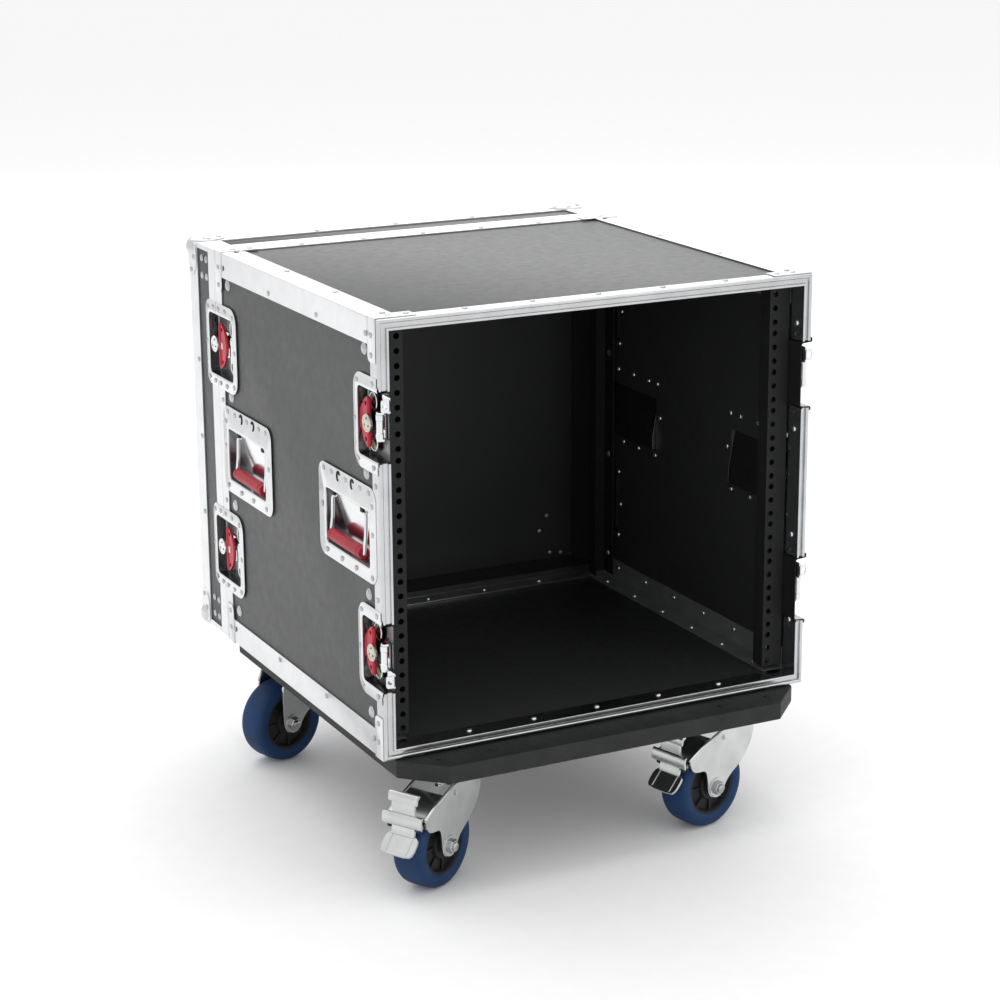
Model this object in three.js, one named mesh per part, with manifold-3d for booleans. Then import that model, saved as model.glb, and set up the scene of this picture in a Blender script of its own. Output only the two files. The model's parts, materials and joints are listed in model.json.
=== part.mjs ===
// A ten-unit 19-inch road rack case on swivel casters, with its rear lid on and its front open.
// Millimetres. +X is the case's right, +Y its back, +Z up. The origin is on the floor under the
// middle of the whole object. Inside the case group, y = 0 is the front frame and z = 0 the
// underside of the box.
import * as THREE from 'three';
import { mergeVertices } from 'three/addons/utils/BufferGeometryUtils.js';
import Module from 'manifold-3d';

const wasm = await Module();
wasm.setup();

// Box
const HALF_WIDTH = 265;
const HEIGHT = 480.4;
const BODY_DEPTH = 466;
const TOTAL_DEPTH = 553;
const FLOOR_TO_BOX = 153.6;
const MIDDLE_X = -4.7;
const MIDDLE_Y = 255.6;
const GAP = 0.3;

// Sheet and board sizes
const ALLOY = 1.5;
const PLY = 9;
const PLY_OUTSIDE = ALLOY + GAP;
const PLY_INSIDE = PLY_OUTSIDE + PLY;
const EDGE_LEG = 29.5;
const FRAME_LEG = 19.2;
const FRAME_INNER_LEG = 24;
const FRAME_WIDTH = 12.3;
const TONGUE = 2;
const BRACE_REACH = 23.5;
const BRACE_SHEET = 1.2;
const BRACE_ROUND = 7;
const BRACE_HEIGHT = 47;

// Rack rails
const RACK_UNIT = 44.45;
const UNITS = 10;
const RAIL_CLEAR_HALF = 225.4;
const RAIL_HOLE_X = 232.55;
const RAIL_HOLE_HALF_SIDE = 3.3;
const RAIL_HOLES_IN_UNIT = [6.35, 22.225, 38.1];
const RAIL_FACE = 24.6;
const RAIL_SHEET = 2;
const RAIL_LEG = 24;

// Latches
const LATCH_HEIGHTS = [366.5, 114.5];
const DISH_REACH = 63;
const DISH_HALF = 51.5;
const POCKET_REACH = 52;
const POCKET_HALF = 37;
const POCKET_FLOOR = 12;
const LID_DISH_REACH = 34;
const LID_POCKET_REACH = 24;
const SKIN = 1.2;
const WING_HALF = 27.5;
const WING_REACH = 20.5;
const WING_FACES = [2, 5];
const WING_RIM_FACES = [0.4, 6.4];
const WING_RIM = 5;
const DISC_RADIUS = 10;
const DISC_FACES = [-2.2, 2.2];
const NECK_HALF = 4;
const HOOK_FACES = [9.6, 11.2];
const HOOK_HALF = 15.5;
const EAR_SHEET = 2.6;
const ROLLER_RADIUS = 4.2;
const ROLLER_DEPTH = 4.6;
const LATCH_TAB = [15, 33];
const LATCH_EYE = 24;
const LATCH_EYE_RADIUS = 3.2;

// Rear lid
const LID_LEG = 22;
const LID_ANGLE = 28;
const BALL_RADIUS = 14;
const BALL_INSET = 8;

// Handles
const HANDLE_Z = 240.3;
const HANDLE_BOTTOM = -48.5;
const HANDLE_TOP = 57.5;
const HANDLE_NEAR = 12;
const HANDLE_FAR = 163;
const GRIP_Z = -21;
const GRIP_DEPTH = 1.6;
const GRIP_RADIUS = 7.4;
const GRIP_ENDS = [49, 134];
const HANDLE_PIN_Z = 22;
const HANDLE_PIN_DEPTH = 4.8;
const BAIL_WIRE = 3.6;
const BAIL_PIN_RADIUS = 2.2;
const HANDLE_ROUND = 14;
const PAN_ENDS = [27.7, 144];
const PAN_TOP = 30;
const PAN_BOTTOM = -32;
const PAN_BACK = 14;
const PAN_SHALLOW = 5;
const PAN_BEND = 6;
const PAN_SKIN = 1;

// Caster board and casters
const BOARD_HALF_X = 252;
const BOARD_FRONT = -42;
const BOARD_BACK = 508;
const BOARD_CUT = 43;
const BOARD_TOP = -1.6;
const BOARD_BOTTOM = -22;
const SWIVEL_X = 176;
const SWIVEL_Y = [23.5, 442.5];
const WHEEL_RADIUS = 50;
const WHEEL_HALF = 20;
const WHEEL_BORE = 5.9;
const AXLE_RADIUS = 5.5;
const CHEEK_GAP = 2;
const CHEEK_SHEET = 3;
const TOP_PLATE_HALF = [42, 52];
const TOP_PLATE_SHEET = 3;
const RACE_RADIUS = 27;
const RACE_HEIGHT = 6;
const TRAIL = 39;
const AXLE_Z = WHEEL_RADIUS - FLOOR_TO_BOX;
const PEDAL_PIVOT = [44, 36];

// ---------------------------------------------------------------- solids

function solidOf(geometry) {
  geometry.deleteAttribute('normal');
  geometry.deleteAttribute('uv');
  const merged = mergeVertices(geometry, 1e-4);
  return new wasm.Manifold(new wasm.Mesh({
    numProp: 3,
    vertProperties: new Float32Array(merged.attributes.position.array),
    triVerts: new Uint32Array(merged.index.array),
  }));
}

function geometryOf(solid) {
  const mesh = solid.getMesh();
  const indexed = new THREE.BufferGeometry();
  indexed.setAttribute('position', new THREE.BufferAttribute(mesh.vertProperties, 3));
  indexed.setIndex(new THREE.BufferAttribute(mesh.triVerts, 1));
  const geometry = indexed.toNonIndexed();
  geometry.computeVertexNormals();
  return geometry;
}

function joined(...solids) {
  return solids.reduce((whole, solid) => whole.add(solid));
}

function cut(solid, ...tools) {
  return tools.reduce((rest, tool) => rest.subtract(tool), solid);
}

function box(x0, x1, y0, y1, z0, z1) {
  const geometry = new THREE.BoxGeometry(Math.abs(x1 - x0), Math.abs(y1 - y0), Math.abs(z1 - z0));
  geometry.translate((x0 + x1) / 2, (y0 + y1) / 2, (z0 + z1) / 2);
  return solidOf(geometry);
}

// An outline drawn in two axes and pushed along the third. The outline's points are (y, z) for
// axis x, (x, z) for axis y and (x, y) for axis z.
function prism(axis, points, from, to) {
  const flip = axis === 'y';
  const outline = points.map(([a, b]) => (flip ? new THREE.Vector2(b, a) : new THREE.Vector2(a, b)));
  const shape = new THREE.Shape(THREE.ShapeUtils.area(outline) > 0 ? outline : outline.reverse());
  const low = Math.min(from, to);
  const depth = Math.abs(to - from);
  const geometry = new THREE.ExtrudeGeometry(shape, { depth, bevelEnabled: false });
  geometry.translate(0, 0, low);
  const turn = new THREE.Matrix4();
  if (axis === 'x') {
    turn.makeBasis(new THREE.Vector3(0, 1, 0), new THREE.Vector3(0, 0, 1), new THREE.Vector3(1, 0, 0));
  }
  if (axis === 'y') {
    turn.makeBasis(new THREE.Vector3(0, 0, 1), new THREE.Vector3(1, 0, 0), new THREE.Vector3(0, 1, 0));
  }
  geometry.applyMatrix4(turn);
  return solidOf(geometry);
}

function ringPoints(a, b, radius, sides) {
  return Array.from({ length: sides }, (_, i) => {
    const angle = (2 * Math.PI * (i + 0.5)) / sides;
    return [a + radius * Math.cos(angle), b + radius * Math.sin(angle)];
  });
}

function rod(axis, a, b, radius, from, to, sides = 20) {
  return prism(axis, ringPoints(a, b, radius, sides), from, to);
}

// A rectangle with its chosen corners rounded: radii go round from (a0, b0), counter-clockwise.
function roundedRectangle(a0, a1, b0, b1, radii, steps = 4) {
  const corners = [[a0, b0, 180], [a1, b0, 270], [a1, b1, 0], [a0, b1, 90]];
  const points = [];
  corners.forEach(([a, b, start], i) => {
    const radius = radii[i];
    if (radius === 0) {
      points.push([a, b]);
      return;
    }
    const ca = a === a0 ? a0 + radius : a1 - radius;
    const cb = b === b0 ? b0 + radius : b1 - radius;
    for (let k = 0; k <= steps; k += 1) {
      const angle = ((start + (90 * k) / steps) * Math.PI) / 180;
      points.push([ca + radius * Math.cos(angle), cb + radius * Math.sin(angle)]);
    }
  });
  return points;
}

// ---------------------------------------------------------------- places on the side walls

// A site is a spot on a side wall. v runs from its seam into the body, d inwards from the
// outside of the wall, and h up from its middle height.
function wallSite(side, seam, direction, height) {
  return {
    x: (d) => side * (HALF_WIDTH - d),
    y: (v) => seam + direction * v,
    z: (h) => height + h,
  };
}

function siteBox(site, v0, v1, d0, d1, h0, h1) {
  return box(site.x(d0), site.x(d1), site.y(v0), site.y(v1), site.z(h0), site.z(h1));
}

function sitePlate(site, points, d0, d1) {
  return prism('x', points.map(([v, h]) => [site.y(v), site.z(h)]), site.x(d0), site.x(d1));
}

function siteProfile(site, points, v0, v1) {
  return prism('y', points.map(([d, h]) => [site.x(d), site.z(h)]), site.y(v0), site.y(v1));
}

function siteRod(site, axis, a, b, radius, from, to, sides) {
  if (axis === 'x') {
    return rod('x', site.y(a), site.z(b), radius, site.x(from), site.x(to), sides);
  }
  if (axis === 'y') {
    return rod('y', site.x(a), site.z(b), radius, site.y(from), site.y(to), sides);
  }
  return rod('z', site.x(a), site.y(b), radius, site.z(from), site.z(to), sides);
}

const SIDES = [['left', -1], ['right', 1]];
const LEVELS = [['upper', LATCH_HEIGHTS[0]], ['lower', LATCH_HEIGHTS[1]]];
const ENDS = [['front', 0, 1], ['rear', BODY_DEPTH, -1]];

function latchSites(end) {
  const [name, seam, direction] = ENDS[end];
  return SIDES.flatMap(([side, sign]) => LEVELS.map(([level, height]) => ({
    name: `${name}_${side}_${level}`,
    site: wallSite(sign, seam, direction, height),
    tabSide: level === 'lower' && side === 'left' ? -1 : 1,
  })));
}

const FRONT_LATCHES = latchSites(0);
const REAR_LATCHES = latchSites(1);
const HANDLES = ENDS.flatMap(([end, seam, direction]) => SIDES.map(([side, sign]) => ({
  name: `${end}_${side}`,
  site: wallSite(sign, seam, direction, HANDLE_Z),
})));

// ---------------------------------------------------------------- materials

const material = (color, roughness, metalness) => new THREE.MeshStandardMaterial({
  color, roughness, metalness,
});
const LAMINATE = material(0x555759, 0.55, 0);
const INSIDE = material(0x202223, 0.7, 0);
const ALUMINIUM = material(0xd9dcdd, 0.35, 0.9);
const CHROME = material(0xcfd2d4, 0.15, 1);
const RAIL_STEEL = material(0x3c3e3e, 0.45, 0.6);
const ZINC = material(0xbfc3c6, 0.3, 0.9);
const RED_PAINT = material(0xb0283a, 0.4, 0.1);
const BLACK_PAINT = material(0x2c2e2e, 0.7, 0);
const BLUE_RUBBER = material(0x24436b, 0.6, 0);

const rackCase = new THREE.Group();
rackCase.position.set(-MIDDLE_X, -MIDDLE_Y, FLOOR_TO_BOX);

function add(name, solid, look, group = rackCase) {
  const mesh = new THREE.Mesh(geometryOf(solid), look);
  mesh.name = name;
  group.add(mesh);
}

// ---------------------------------------------------------------- plywood panels

const latchMouth = (site) => siteBox(site, -5, POCKET_REACH + SKIN + GAP, -2, 20,
  -POCKET_HALF - SKIN - GAP, POCKET_HALF + SKIN + GAP);
const HANDLE_MOUTH_GAP = PAN_SKIN + 0.5;
const handleMouth = (site) => siteBox(site, PAN_ENDS[0] - HANDLE_MOUTH_GAP,
  PAN_ENDS[1] + HANDLE_MOUTH_GAP, -2, 20, PAN_BOTTOM - 1.8, PAN_TOP + 1.8);

const PANEL_FRONT = 3 + GAP;
const PANEL_BACK = BODY_DEPTH - PANEL_FRONT;
const PANEL_HALF = HALF_WIDTH - PLY_OUTSIDE;

add('panel_top', box(-PANEL_HALF, PANEL_HALF, PANEL_FRONT, PANEL_BACK,
  HEIGHT - PLY_INSIDE, HEIGHT - PLY_OUTSIDE), LAMINATE);
add('panel_bottom', box(-PANEL_HALF, PANEL_HALF, PANEL_FRONT, PANEL_BACK,
  PLY_OUTSIDE, PLY_INSIDE), LAMINATE);
SIDES.forEach(([side, sign]) => {
  const mouths = [...FRONT_LATCHES, ...REAR_LATCHES].map(({ site }) => latchMouth(site));
  const handleMouths = HANDLES.map(({ site }) => handleMouth(site));
  const wall = box(sign * PANEL_HALF, sign * (PANEL_HALF - PLY), PANEL_FRONT, PANEL_BACK,
    PLY_INSIDE + GAP, HEIGHT - PLY_INSIDE - GAP);
  add(`panel_${side}`, cut(wall, ...mouths, ...handleMouths), LAMINATE);
});

// ---------------------------------------------------------------- edge angles with corner braces

// One leg of an edge angle along a side wall or along the top or bottom, with a stamped brace
// at each end that laps over the end frame.
function edgeAngle(sign, top) {
  const edgeX = sign * HALF_WIDTH;
  const edgeZ = top ? HEIGHT : 0;
  const down = top ? -1 : 1;
  const start = FRAME_LEG + GAP;
  const end = BODY_DEPTH - start;
  const leg = joined(
    box(edgeX, edgeX - sign * ALLOY, start, end, edgeZ, edgeZ + down * EDGE_LEG),
    box(edgeX, edgeX - sign * EDGE_LEG, start, end, edgeZ, edgeZ + down * ALLOY),
  );
  const braces = [[4, BRACE_REACH], [BODY_DEPTH - BRACE_REACH, BODY_DEPTH - 4]].map(([y0, y1]) => {
    const near = y0 < BODY_DEPTH / 2;
    const outside = edgeZ - down * BRACE_SHEET;
    const tip = edgeZ + down * BRACE_HEIGHT;
    const rounds = near ? [0, BRACE_ROUND, BRACE_ROUND, 0] : [BRACE_ROUND, 0, 0, BRACE_ROUND];
    const tipRounds = rounds.map((radius, i) => ((top ? i < 2 : i >= 2) ? radius : 0));
    const sideOutline = roundedRectangle(y0, y1, Math.min(outside, tip), Math.max(outside, tip),
      tipRounds);
    const wallFace = edgeX + sign * BRACE_SHEET;
    const sidePlate = prism('x', sideOutline, wallFace, edgeX + sign * GAP);
    const flatPlate = box(wallFace, edgeX - sign * BRACE_HEIGHT, y0, y1, outside,
      edgeZ - down * GAP);
    const inner = near ? [start, y1] : [y0, end];
    const root = joined(
      box(wallFace, edgeX - sign * ALLOY, ...inner, edgeZ, edgeZ + down * EDGE_LEG),
      box(edgeX, edgeX - sign * EDGE_LEG, ...inner, outside, edgeZ + down * ALLOY),
    );
    return joined(sidePlate, flatPlate, root);
  });
  return joined(leg, ...braces);
}

SIDES.forEach(([side, sign]) => {
  add(`edge_angle_top_${side}`, edgeAngle(sign, true), ALUMINIUM);
  add(`edge_angle_bottom_${side}`, edgeAngle(sign, false), ALUMINIUM);
});

// ---------------------------------------------------------------- end frames

// A rectangular hoop round the opening, between two depths below the outside.
function hoop(d0, d1, y0, y1) {
  const block = (inset, near, far) => box(-HALF_WIDTH + inset, HALF_WIDTH - inset, near, far,
    inset, HEIGHT - inset);
  return cut(block(d0, y0, y1), block(d1, Math.min(y0, y1) - 1, Math.max(y0, y1) + 1));
}

function endFrame(seam, direction, outerLeg, innerLeg) {
  const y = (v) => seam + direction * v;
  return joined(
    hoop(0, FRAME_WIDTH, y(0), y(3)),
    hoop(0, ALLOY, y(2.9), y(outerLeg)),
    hoop(PLY_INSIDE + GAP, FRAME_WIDTH, y(2.9), y(innerLeg)),
  );
}

const mouthCuts = FRONT_LATCHES.flatMap(({ site }) => [
  siteBox(site, -TONGUE - 1, 30, -2, 20, -POCKET_HALF - SKIN - GAP, POCKET_HALF + SKIN + GAP),
  siteBox(site, 3 + GAP / 2, 30, -2, ALLOY + GAP, -DISH_HALF - GAP, DISH_HALF + GAP),
]);
const handleCuts = HANDLES.map(({ site }) => siteBox(site, HANDLE_NEAR - GAP, 30, -2,
  ALLOY + GAP, HANDLE_BOTTOM - GAP, HANDLE_TOP + GAP));
const frontFrame = cut(
  joined(endFrame(0, 1, FRAME_LEG, FRAME_INNER_LEG),
    hoop(FRAME_WIDTH - 2.5, FRAME_WIDTH, -TONGUE, 0.1)),
  ...mouthCuts,
  ...handleCuts,
);
const [UPPER_Z, LOWER_Z] = LATCH_HEIGHTS;
add('front_frame_top', frontFrame.intersect(box(-300, 300, -10, 60, UPPER_Z, 500)), ALUMINIUM);
add('front_frame_bottom', frontFrame.intersect(box(-300, 300, -10, 60, -10, LOWER_Z)), ALUMINIUM);
SIDES.forEach(([side, sign]) => {
  const middle = frontFrame.intersect(box(sign * 200, sign * 300, -10, 60, LOWER_Z, UPPER_Z));
  add(`front_frame_${side}`, middle, ALUMINIUM);
});

// ---------------------------------------------------------------- latch dishes

// Half of a recessed latch dish, open at the seam: flange, pocket walls and pocket floor.
function dishHalf(site, near, reach, pocketReach, farRadius) {
  const away = Math.sign(reach);
  const flange = cut(
    sitePlate(site, roundedRectangle(Math.min(near, reach), Math.max(near, reach), -DISH_HALF,
      DISH_HALF, away > 0 ? [0, farRadius, farRadius, 0] : [farRadius, 0, 0, farRadius]), 0, ALLOY),
    siteBox(site, near - away * 5, pocketReach, -2, 5, -POCKET_HALF, POCKET_HALF),
  );
  const mouth = away * GAP;
  const pocket = cut(
    siteBox(site, mouth, pocketReach + away * SKIN, 0.5, POCKET_FLOOR + SKIN,
      -POCKET_HALF - SKIN, POCKET_HALF + SKIN),
    siteBox(site, -away * 5, pocketReach, -2, POCKET_FLOOR, -POCKET_HALF, POCKET_HALF),
  );
  return joined(flange, pocket);
}

FRONT_LATCHES.forEach(({ name, site }) => {
  add(`latch_dish_${name}`, cut(dishHalf(site, 3 + GAP, DISH_REACH, POCKET_REACH, 18),
    siteBox(site, -1, 3 + GAP, -2, 3, POCKET_HALF + SKIN, 60),
    siteBox(site, -1, 3 + GAP, -2, 3, -60, -POCKET_HALF - SKIN)), ALUMINIUM);
});

const seamCuts = REAR_LATCHES.map(({ site }) => siteBox(site, -60, 60, -2, 20,
  -POCKET_HALF - 0.2, POCKET_HALF + 0.2));
const rearDishes = REAR_LATCHES.map(({ site }) => dishHalf(site, GAP, DISH_REACH, POCKET_REACH, 18));
add('rear_frame', joined(cut(endFrame(BODY_DEPTH, -1, FRAME_LEG, FRAME_INNER_LEG), ...seamCuts,
  ...handleCuts),
  ...rearDishes), ALUMINIUM);

// ---------------------------------------------------------------- rear lid

const LID_START = BODY_DEPTH + GAP;
const lidFrame = cut(endFrame(LID_START, 1, LID_LEG, LID_LEG), ...seamCuts);
const lidDishes = REAR_LATCHES.map(({ site }) => dishHalf(site, -GAP, -LID_DISH_REACH,
  -LID_POCKET_REACH, 12));
add('lid_valance', joined(lidFrame, ...lidDishes), ALUMINIUM);

const LID_PANEL_FRONT = LID_START + 3 + GAP;
const LID_BACK = TOTAL_DEPTH - PLY_OUTSIDE;
const lidMouths = REAR_LATCHES.map(({ site }) => siteBox(site, 5, -LID_POCKET_REACH - SKIN - GAP,
  -2, 20, -POCKET_HALF - SKIN - GAP, POCKET_HALF + SKIN + GAP));
add('lid_shell', cut(
  box(-PANEL_HALF, PANEL_HALF, LID_PANEL_FRONT, LID_BACK, PLY_OUTSIDE, HEIGHT - PLY_OUTSIDE),
  box(-PANEL_HALF + PLY, PANEL_HALF - PLY, LID_PANEL_FRONT - 1, LID_BACK - PLY,
    PLY_INSIDE, HEIGHT - PLY_INSIDE),
  ...lidMouths,
), LAMINATE);

function lidCorner(sign, top) {
  const edgeX = sign * HALF_WIDTH;
  const edgeZ = top ? HEIGHT : 0;
  const down = top ? -1 : 1;
  const start = LID_START + LID_LEG + GAP;
  const stop = TOTAL_DEPTH - LID_ANGLE + 0.2;
  const ball = new THREE.SphereGeometry(BALL_RADIUS, 12, 6);
  ball.translate(edgeX - sign * BALL_INSET, TOTAL_DEPTH - BALL_INSET, edgeZ + down * BALL_INSET);
  return joined(
    box(edgeX, edgeX - sign * ALLOY, start, stop, edgeZ, edgeZ + down * EDGE_LEG),
    box(edgeX, edgeX - sign * EDGE_LEG, start, stop, edgeZ, edgeZ + down * ALLOY),
    solidOf(ball),
  );
}
const backHoop = hoop(0, LID_ANGLE, TOTAL_DEPTH - ALLOY, TOTAL_DEPTH);
const sideHoop = hoop(0, ALLOY, TOTAL_DEPTH - LID_ANGLE, TOTAL_DEPTH - 0.1);
const lidCorners = SIDES.flatMap(([, sign]) => [lidCorner(sign, true), lidCorner(sign, false)]);
add('lid_edging', cut(joined(backHoop, sideHoop, ...lidCorners),
  box(-HALF_WIDTH + ALLOY, HALF_WIDTH - ALLOY, LID_START, TOTAL_DEPTH - ALLOY, ALLOY,
    HEIGHT - ALLOY)), ALUMINIUM);

// ---------------------------------------------------------------- rack rails

const RAIL_BOTTOM = (HEIGHT - UNITS * RACK_UNIT) / 2;
const RAIL_TOP = RAIL_BOTTOM + UNITS * RACK_UNIT;
function railHoles(site, centreX) {
  const near = site.y(RAIL_FACE - 1);
  const far = site.y(RAIL_FACE + RAIL_SHEET + 1);
  const heights = [];
  for (let unit = 0; unit < UNITS; unit += 1) {
    RAIL_HOLES_IN_UNIT.forEach((offset) => heights.push(RAIL_BOTTOM + unit * RACK_UNIT + offset));
  }
  return joined(...heights.map((height) => box(centreX - RAIL_HOLE_HALF_SIDE,
    centreX + RAIL_HOLE_HALF_SIDE, near, far, height - RAIL_HOLE_HALF_SIDE,
    height + RAIL_HOLE_HALF_SIDE)));
}
ENDS.forEach(([end, seam, direction]) => SIDES.forEach(([side, sign]) => {
  const site = wallSite(sign, seam, direction, 0);
  const wallX = site.x(PLY_INSIDE + GAP);
  const face = box(sign * RAIL_CLEAR_HALF, wallX, site.y(RAIL_FACE),
    site.y(RAIL_FACE + RAIL_SHEET), RAIL_BOTTOM, RAIL_TOP);
  const leg = box(wallX, wallX - sign * RAIL_SHEET, site.y(RAIL_FACE + 0.1),
    site.y(RAIL_FACE + RAIL_LEG), RAIL_BOTTOM, RAIL_TOP);
  const notches = LATCH_HEIGHTS.map((height) => siteBox(site, 20, 60, 0,
    POCKET_FLOOR + SKIN + GAP, height - POCKET_HALF - SKIN - GAP, height + POCKET_HALF + SKIN + GAP));
  const handleNotch = siteBox(site, 26.7, 60, 0, 17, HANDLE_Z - 50, HANDLE_Z + 50);
  add(`rack_rail_${end}_${side}`, cut(joined(face, leg), railHoles(site, sign * RAIL_HOLE_X),
    ...notches, handleNotch), RAIL_STEEL);
}));

// ---------------------------------------------------------------- handles

// The pan is shallow under the spring cover and drops back to full depth behind the grip.
const panProfile = (skin, mouth) => [
  [mouth, PAN_TOP + skin],
  [PAN_SHALLOW + skin, PAN_TOP + skin],
  [PAN_BACK + skin, PAN_BEND + skin / 2],
  [PAN_BACK + skin, PAN_BOTTOM - skin],
  [mouth, PAN_BOTTOM - skin],
];
const [PAN_START, PAN_STOP] = PAN_ENDS;
HANDLES.forEach(({ name, site }) => {
  const flange = cut(
    sitePlate(site, roundedRectangle(HANDLE_NEAR, HANDLE_FAR, HANDLE_BOTTOM, HANDLE_TOP,
      [HANDLE_ROUND, HANDLE_ROUND, HANDLE_ROUND, HANDLE_ROUND]), 0, ALLOY),
    siteBox(site, PAN_START, PAN_STOP, -2, 5, PAN_BOTTOM, PAN_TOP),
  );
  const pan = cut(
    siteProfile(site, panProfile(SKIN, 0.5), PAN_START - PAN_SKIN, PAN_STOP + PAN_SKIN),
    siteProfile(site, panProfile(0, -2), PAN_START, PAN_STOP),
  );
  // A cover strip bridges the top of the pan in front of the bail's springs.
  const cover = siteBox(site, PAN_START - 0.7, PAN_STOP + 0.7, 0, ALLOY, PAN_TOP - 4, PAN_TOP + 0.5);
  const brackets = [[51.5, 55.5], [127.5, 131.5]].map(([v0, v1]) => siteBox(site, v0, v1, ALLOY - 0.5, 8,
    PAN_TOP - 3.8, PAN_TOP + 0.4));
  add(`handle_dish_${name}`, joined(flange, pan, cover, ...brackets), ALUMINIUM);

  const [gripStart, gripStop] = GRIP_ENDS;
  const pin = siteRod(site, 'y', HANDLE_PIN_DEPTH, HANDLE_PIN_Z, BAIL_PIN_RADIUS,
    gripStart - BAIL_WIRE, gripStop + BAIL_WIRE, 12);
  // The arms lean outwards from the pin down to the grip.
  const armProfile = [
    [HANDLE_PIN_DEPTH - BAIL_WIRE / 2, HANDLE_PIN_Z + 2.4],
    [HANDLE_PIN_DEPTH + BAIL_WIRE / 2, HANDLE_PIN_Z + 2.4],
    [GRIP_DEPTH + BAIL_WIRE / 2, GRIP_Z - 2],
    [GRIP_DEPTH - BAIL_WIRE / 2, GRIP_Z - 2],
  ];
  const arms = [[gripStart - BAIL_WIRE, gripStart + 0.1], [gripStop - 0.1, gripStop + BAIL_WIRE]]
    .map(([v0, v1]) => siteProfile(site, armProfile, v0, v1));
  const grip = siteProfile(site, ringPoints(GRIP_DEPTH, GRIP_Z, GRIP_RADIUS, 8), gripStart,
    gripStop);
  add(`handle_bail_${name}`, joined(pin, ...arms, grip), RED_PAINT);
});

// ---------------------------------------------------------------- latch wings and hooks

// Rest places, from the seam: the front latches are folded back into their dishes, the rear
// ones are closed over the seam.
const FRONT_LATCH = { root: 30.5, disc: 29, hookNear: 20, hookFar: 6, roller: 8 };
const REAR_LATCH = { root: 3, disc: -7, hookNear: 46, hookFar: -14.5, roller: 42 };

function wing(site, { root, disc }) {
  const outline = [[0, -WING_HALF], [6, -WING_HALF], [WING_REACH - 5, -19], [WING_REACH, -8],
    [WING_REACH, 8], [WING_REACH - 5, 19], [6, WING_HALF], [0, WING_HALF]];
  const plate = sitePlate(site, outline.map(([r, h]) => [root + r, h]), ...WING_FACES);
  const rim = siteBox(site, root, root + WING_RIM, ...WING_RIM_FACES, -WING_HALF, WING_HALF);
  const hub = siteRod(site, 'x', disc, 0, DISC_RADIUS, ...DISC_FACES, 14);
  const neck = siteBox(site, disc, root + WING_RIM + NECK_HALF, 1.4, 3, -NECK_HALF, NECK_HALF);
  return joined(plate, rim, hub, neck);
}

function hook(site, { hookNear, hookFar, roller }, tabSide) {
  const [hookTop, hookUnder] = HOOK_FACES;
  const earInside = HOOK_HALF - EAR_SHEET;
  const plate = siteBox(site, hookNear, hookFar, hookTop, hookUnder, -HOOK_HALF, HOOK_HALF);
  const roll = siteRod(site, 'z', ROLLER_DEPTH, roller, ROLLER_RADIUS, -earInside - 0.1,
    earInside + 0.1, 12);
  const ears = [[-HOOK_HALF, -earInside], [earInside, HOOK_HALF]].map(([h0, h1]) => siteBox(site,
    roller - 3.4, roller + 3.4, 1.6, hookTop + 0.2, h0, h1));
  const parts = [plate, roll, ...ears];
  if (tabSide) {
    const [low, high] = LATCH_TAB.map((h) => tabSide * h).sort((a, b) => a - b);
    const arm = siteBox(site, 12, -5, hookTop, hookUnder, low, high);
    const tab = cut(siteBox(site, -3.4, -5, 0.8, hookUnder, low + 2, high - 2),
      siteRod(site, 'y', 5.2, tabSide * LATCH_EYE, LATCH_EYE_RADIUS, -6, -2, 10));
    parts.push(arm, tab);
  }
  return joined(...parts);
}

FRONT_LATCHES.forEach(({ name, site, tabSide }) => {
  add(`latch_wing_${name}`, wing(site, FRONT_LATCH), RED_PAINT);
  add(`latch_hook_${name}`, hook(site, FRONT_LATCH, tabSide), CHROME);
});
REAR_LATCHES.forEach(({ name, site }) => {
  add(`latch_wing_${name}`, wing(site, REAR_LATCH), RED_PAINT);
  add(`latch_hook_${name}`, hook(site, REAR_LATCH, 0), CHROME);
});

// ---------------------------------------------------------------- caster board

const boardOutline = [
  [-BOARD_HALF_X, BOARD_FRONT + BOARD_CUT],
  [-BOARD_HALF_X + BOARD_CUT, BOARD_FRONT],
  [BOARD_HALF_X - BOARD_CUT, BOARD_FRONT],
  [BOARD_HALF_X, BOARD_FRONT + BOARD_CUT],
  [BOARD_HALF_X, BOARD_BACK - BOARD_CUT],
  [BOARD_HALF_X - BOARD_CUT, BOARD_BACK],
  [-BOARD_HALF_X + BOARD_CUT, BOARD_BACK],
  [-BOARD_HALF_X, BOARD_BACK - BOARD_CUT],
];
const PLATE_BOTTOM = BOARD_BOTTOM - TOP_PLATE_SHEET;
const RACE_BOTTOM = PLATE_BOTTOM - RACE_HEIGHT;
const CASTERS = SWIVEL_Y.flatMap((y, row) => SIDES.map(([side, sign]) => ({
  name: `${row === 0 ? 'front' : 'rear'}_${side}`,
  x: sign * SWIVEL_X,
  y,
  braked: row === 0,
})));
// The caster headings, in degrees from +X round to where each wheel trails.
const HEADINGS = { front_left: 209.3, front_right: 195.2, rear_left: 197, rear_right: 200 };

const mountings = CASTERS.flatMap(({ x, y }) => [
  box(x - TOP_PLATE_HALF[0], x + TOP_PLATE_HALF[0], y - TOP_PLATE_HALF[1],
    y + TOP_PLATE_HALF[1], PLATE_BOTTOM, BOARD_BOTTOM + 0.1),
  rod('z', x, y, RACE_RADIUS, RACE_BOTTOM, PLATE_BOTTOM + 0.1, 16),
]);
add('caster_board', joined(prism('z', boardOutline, BOARD_BOTTOM, BOARD_TOP), ...mountings),
  BLACK_PAINT);

// ---------------------------------------------------------------- casters

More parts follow.
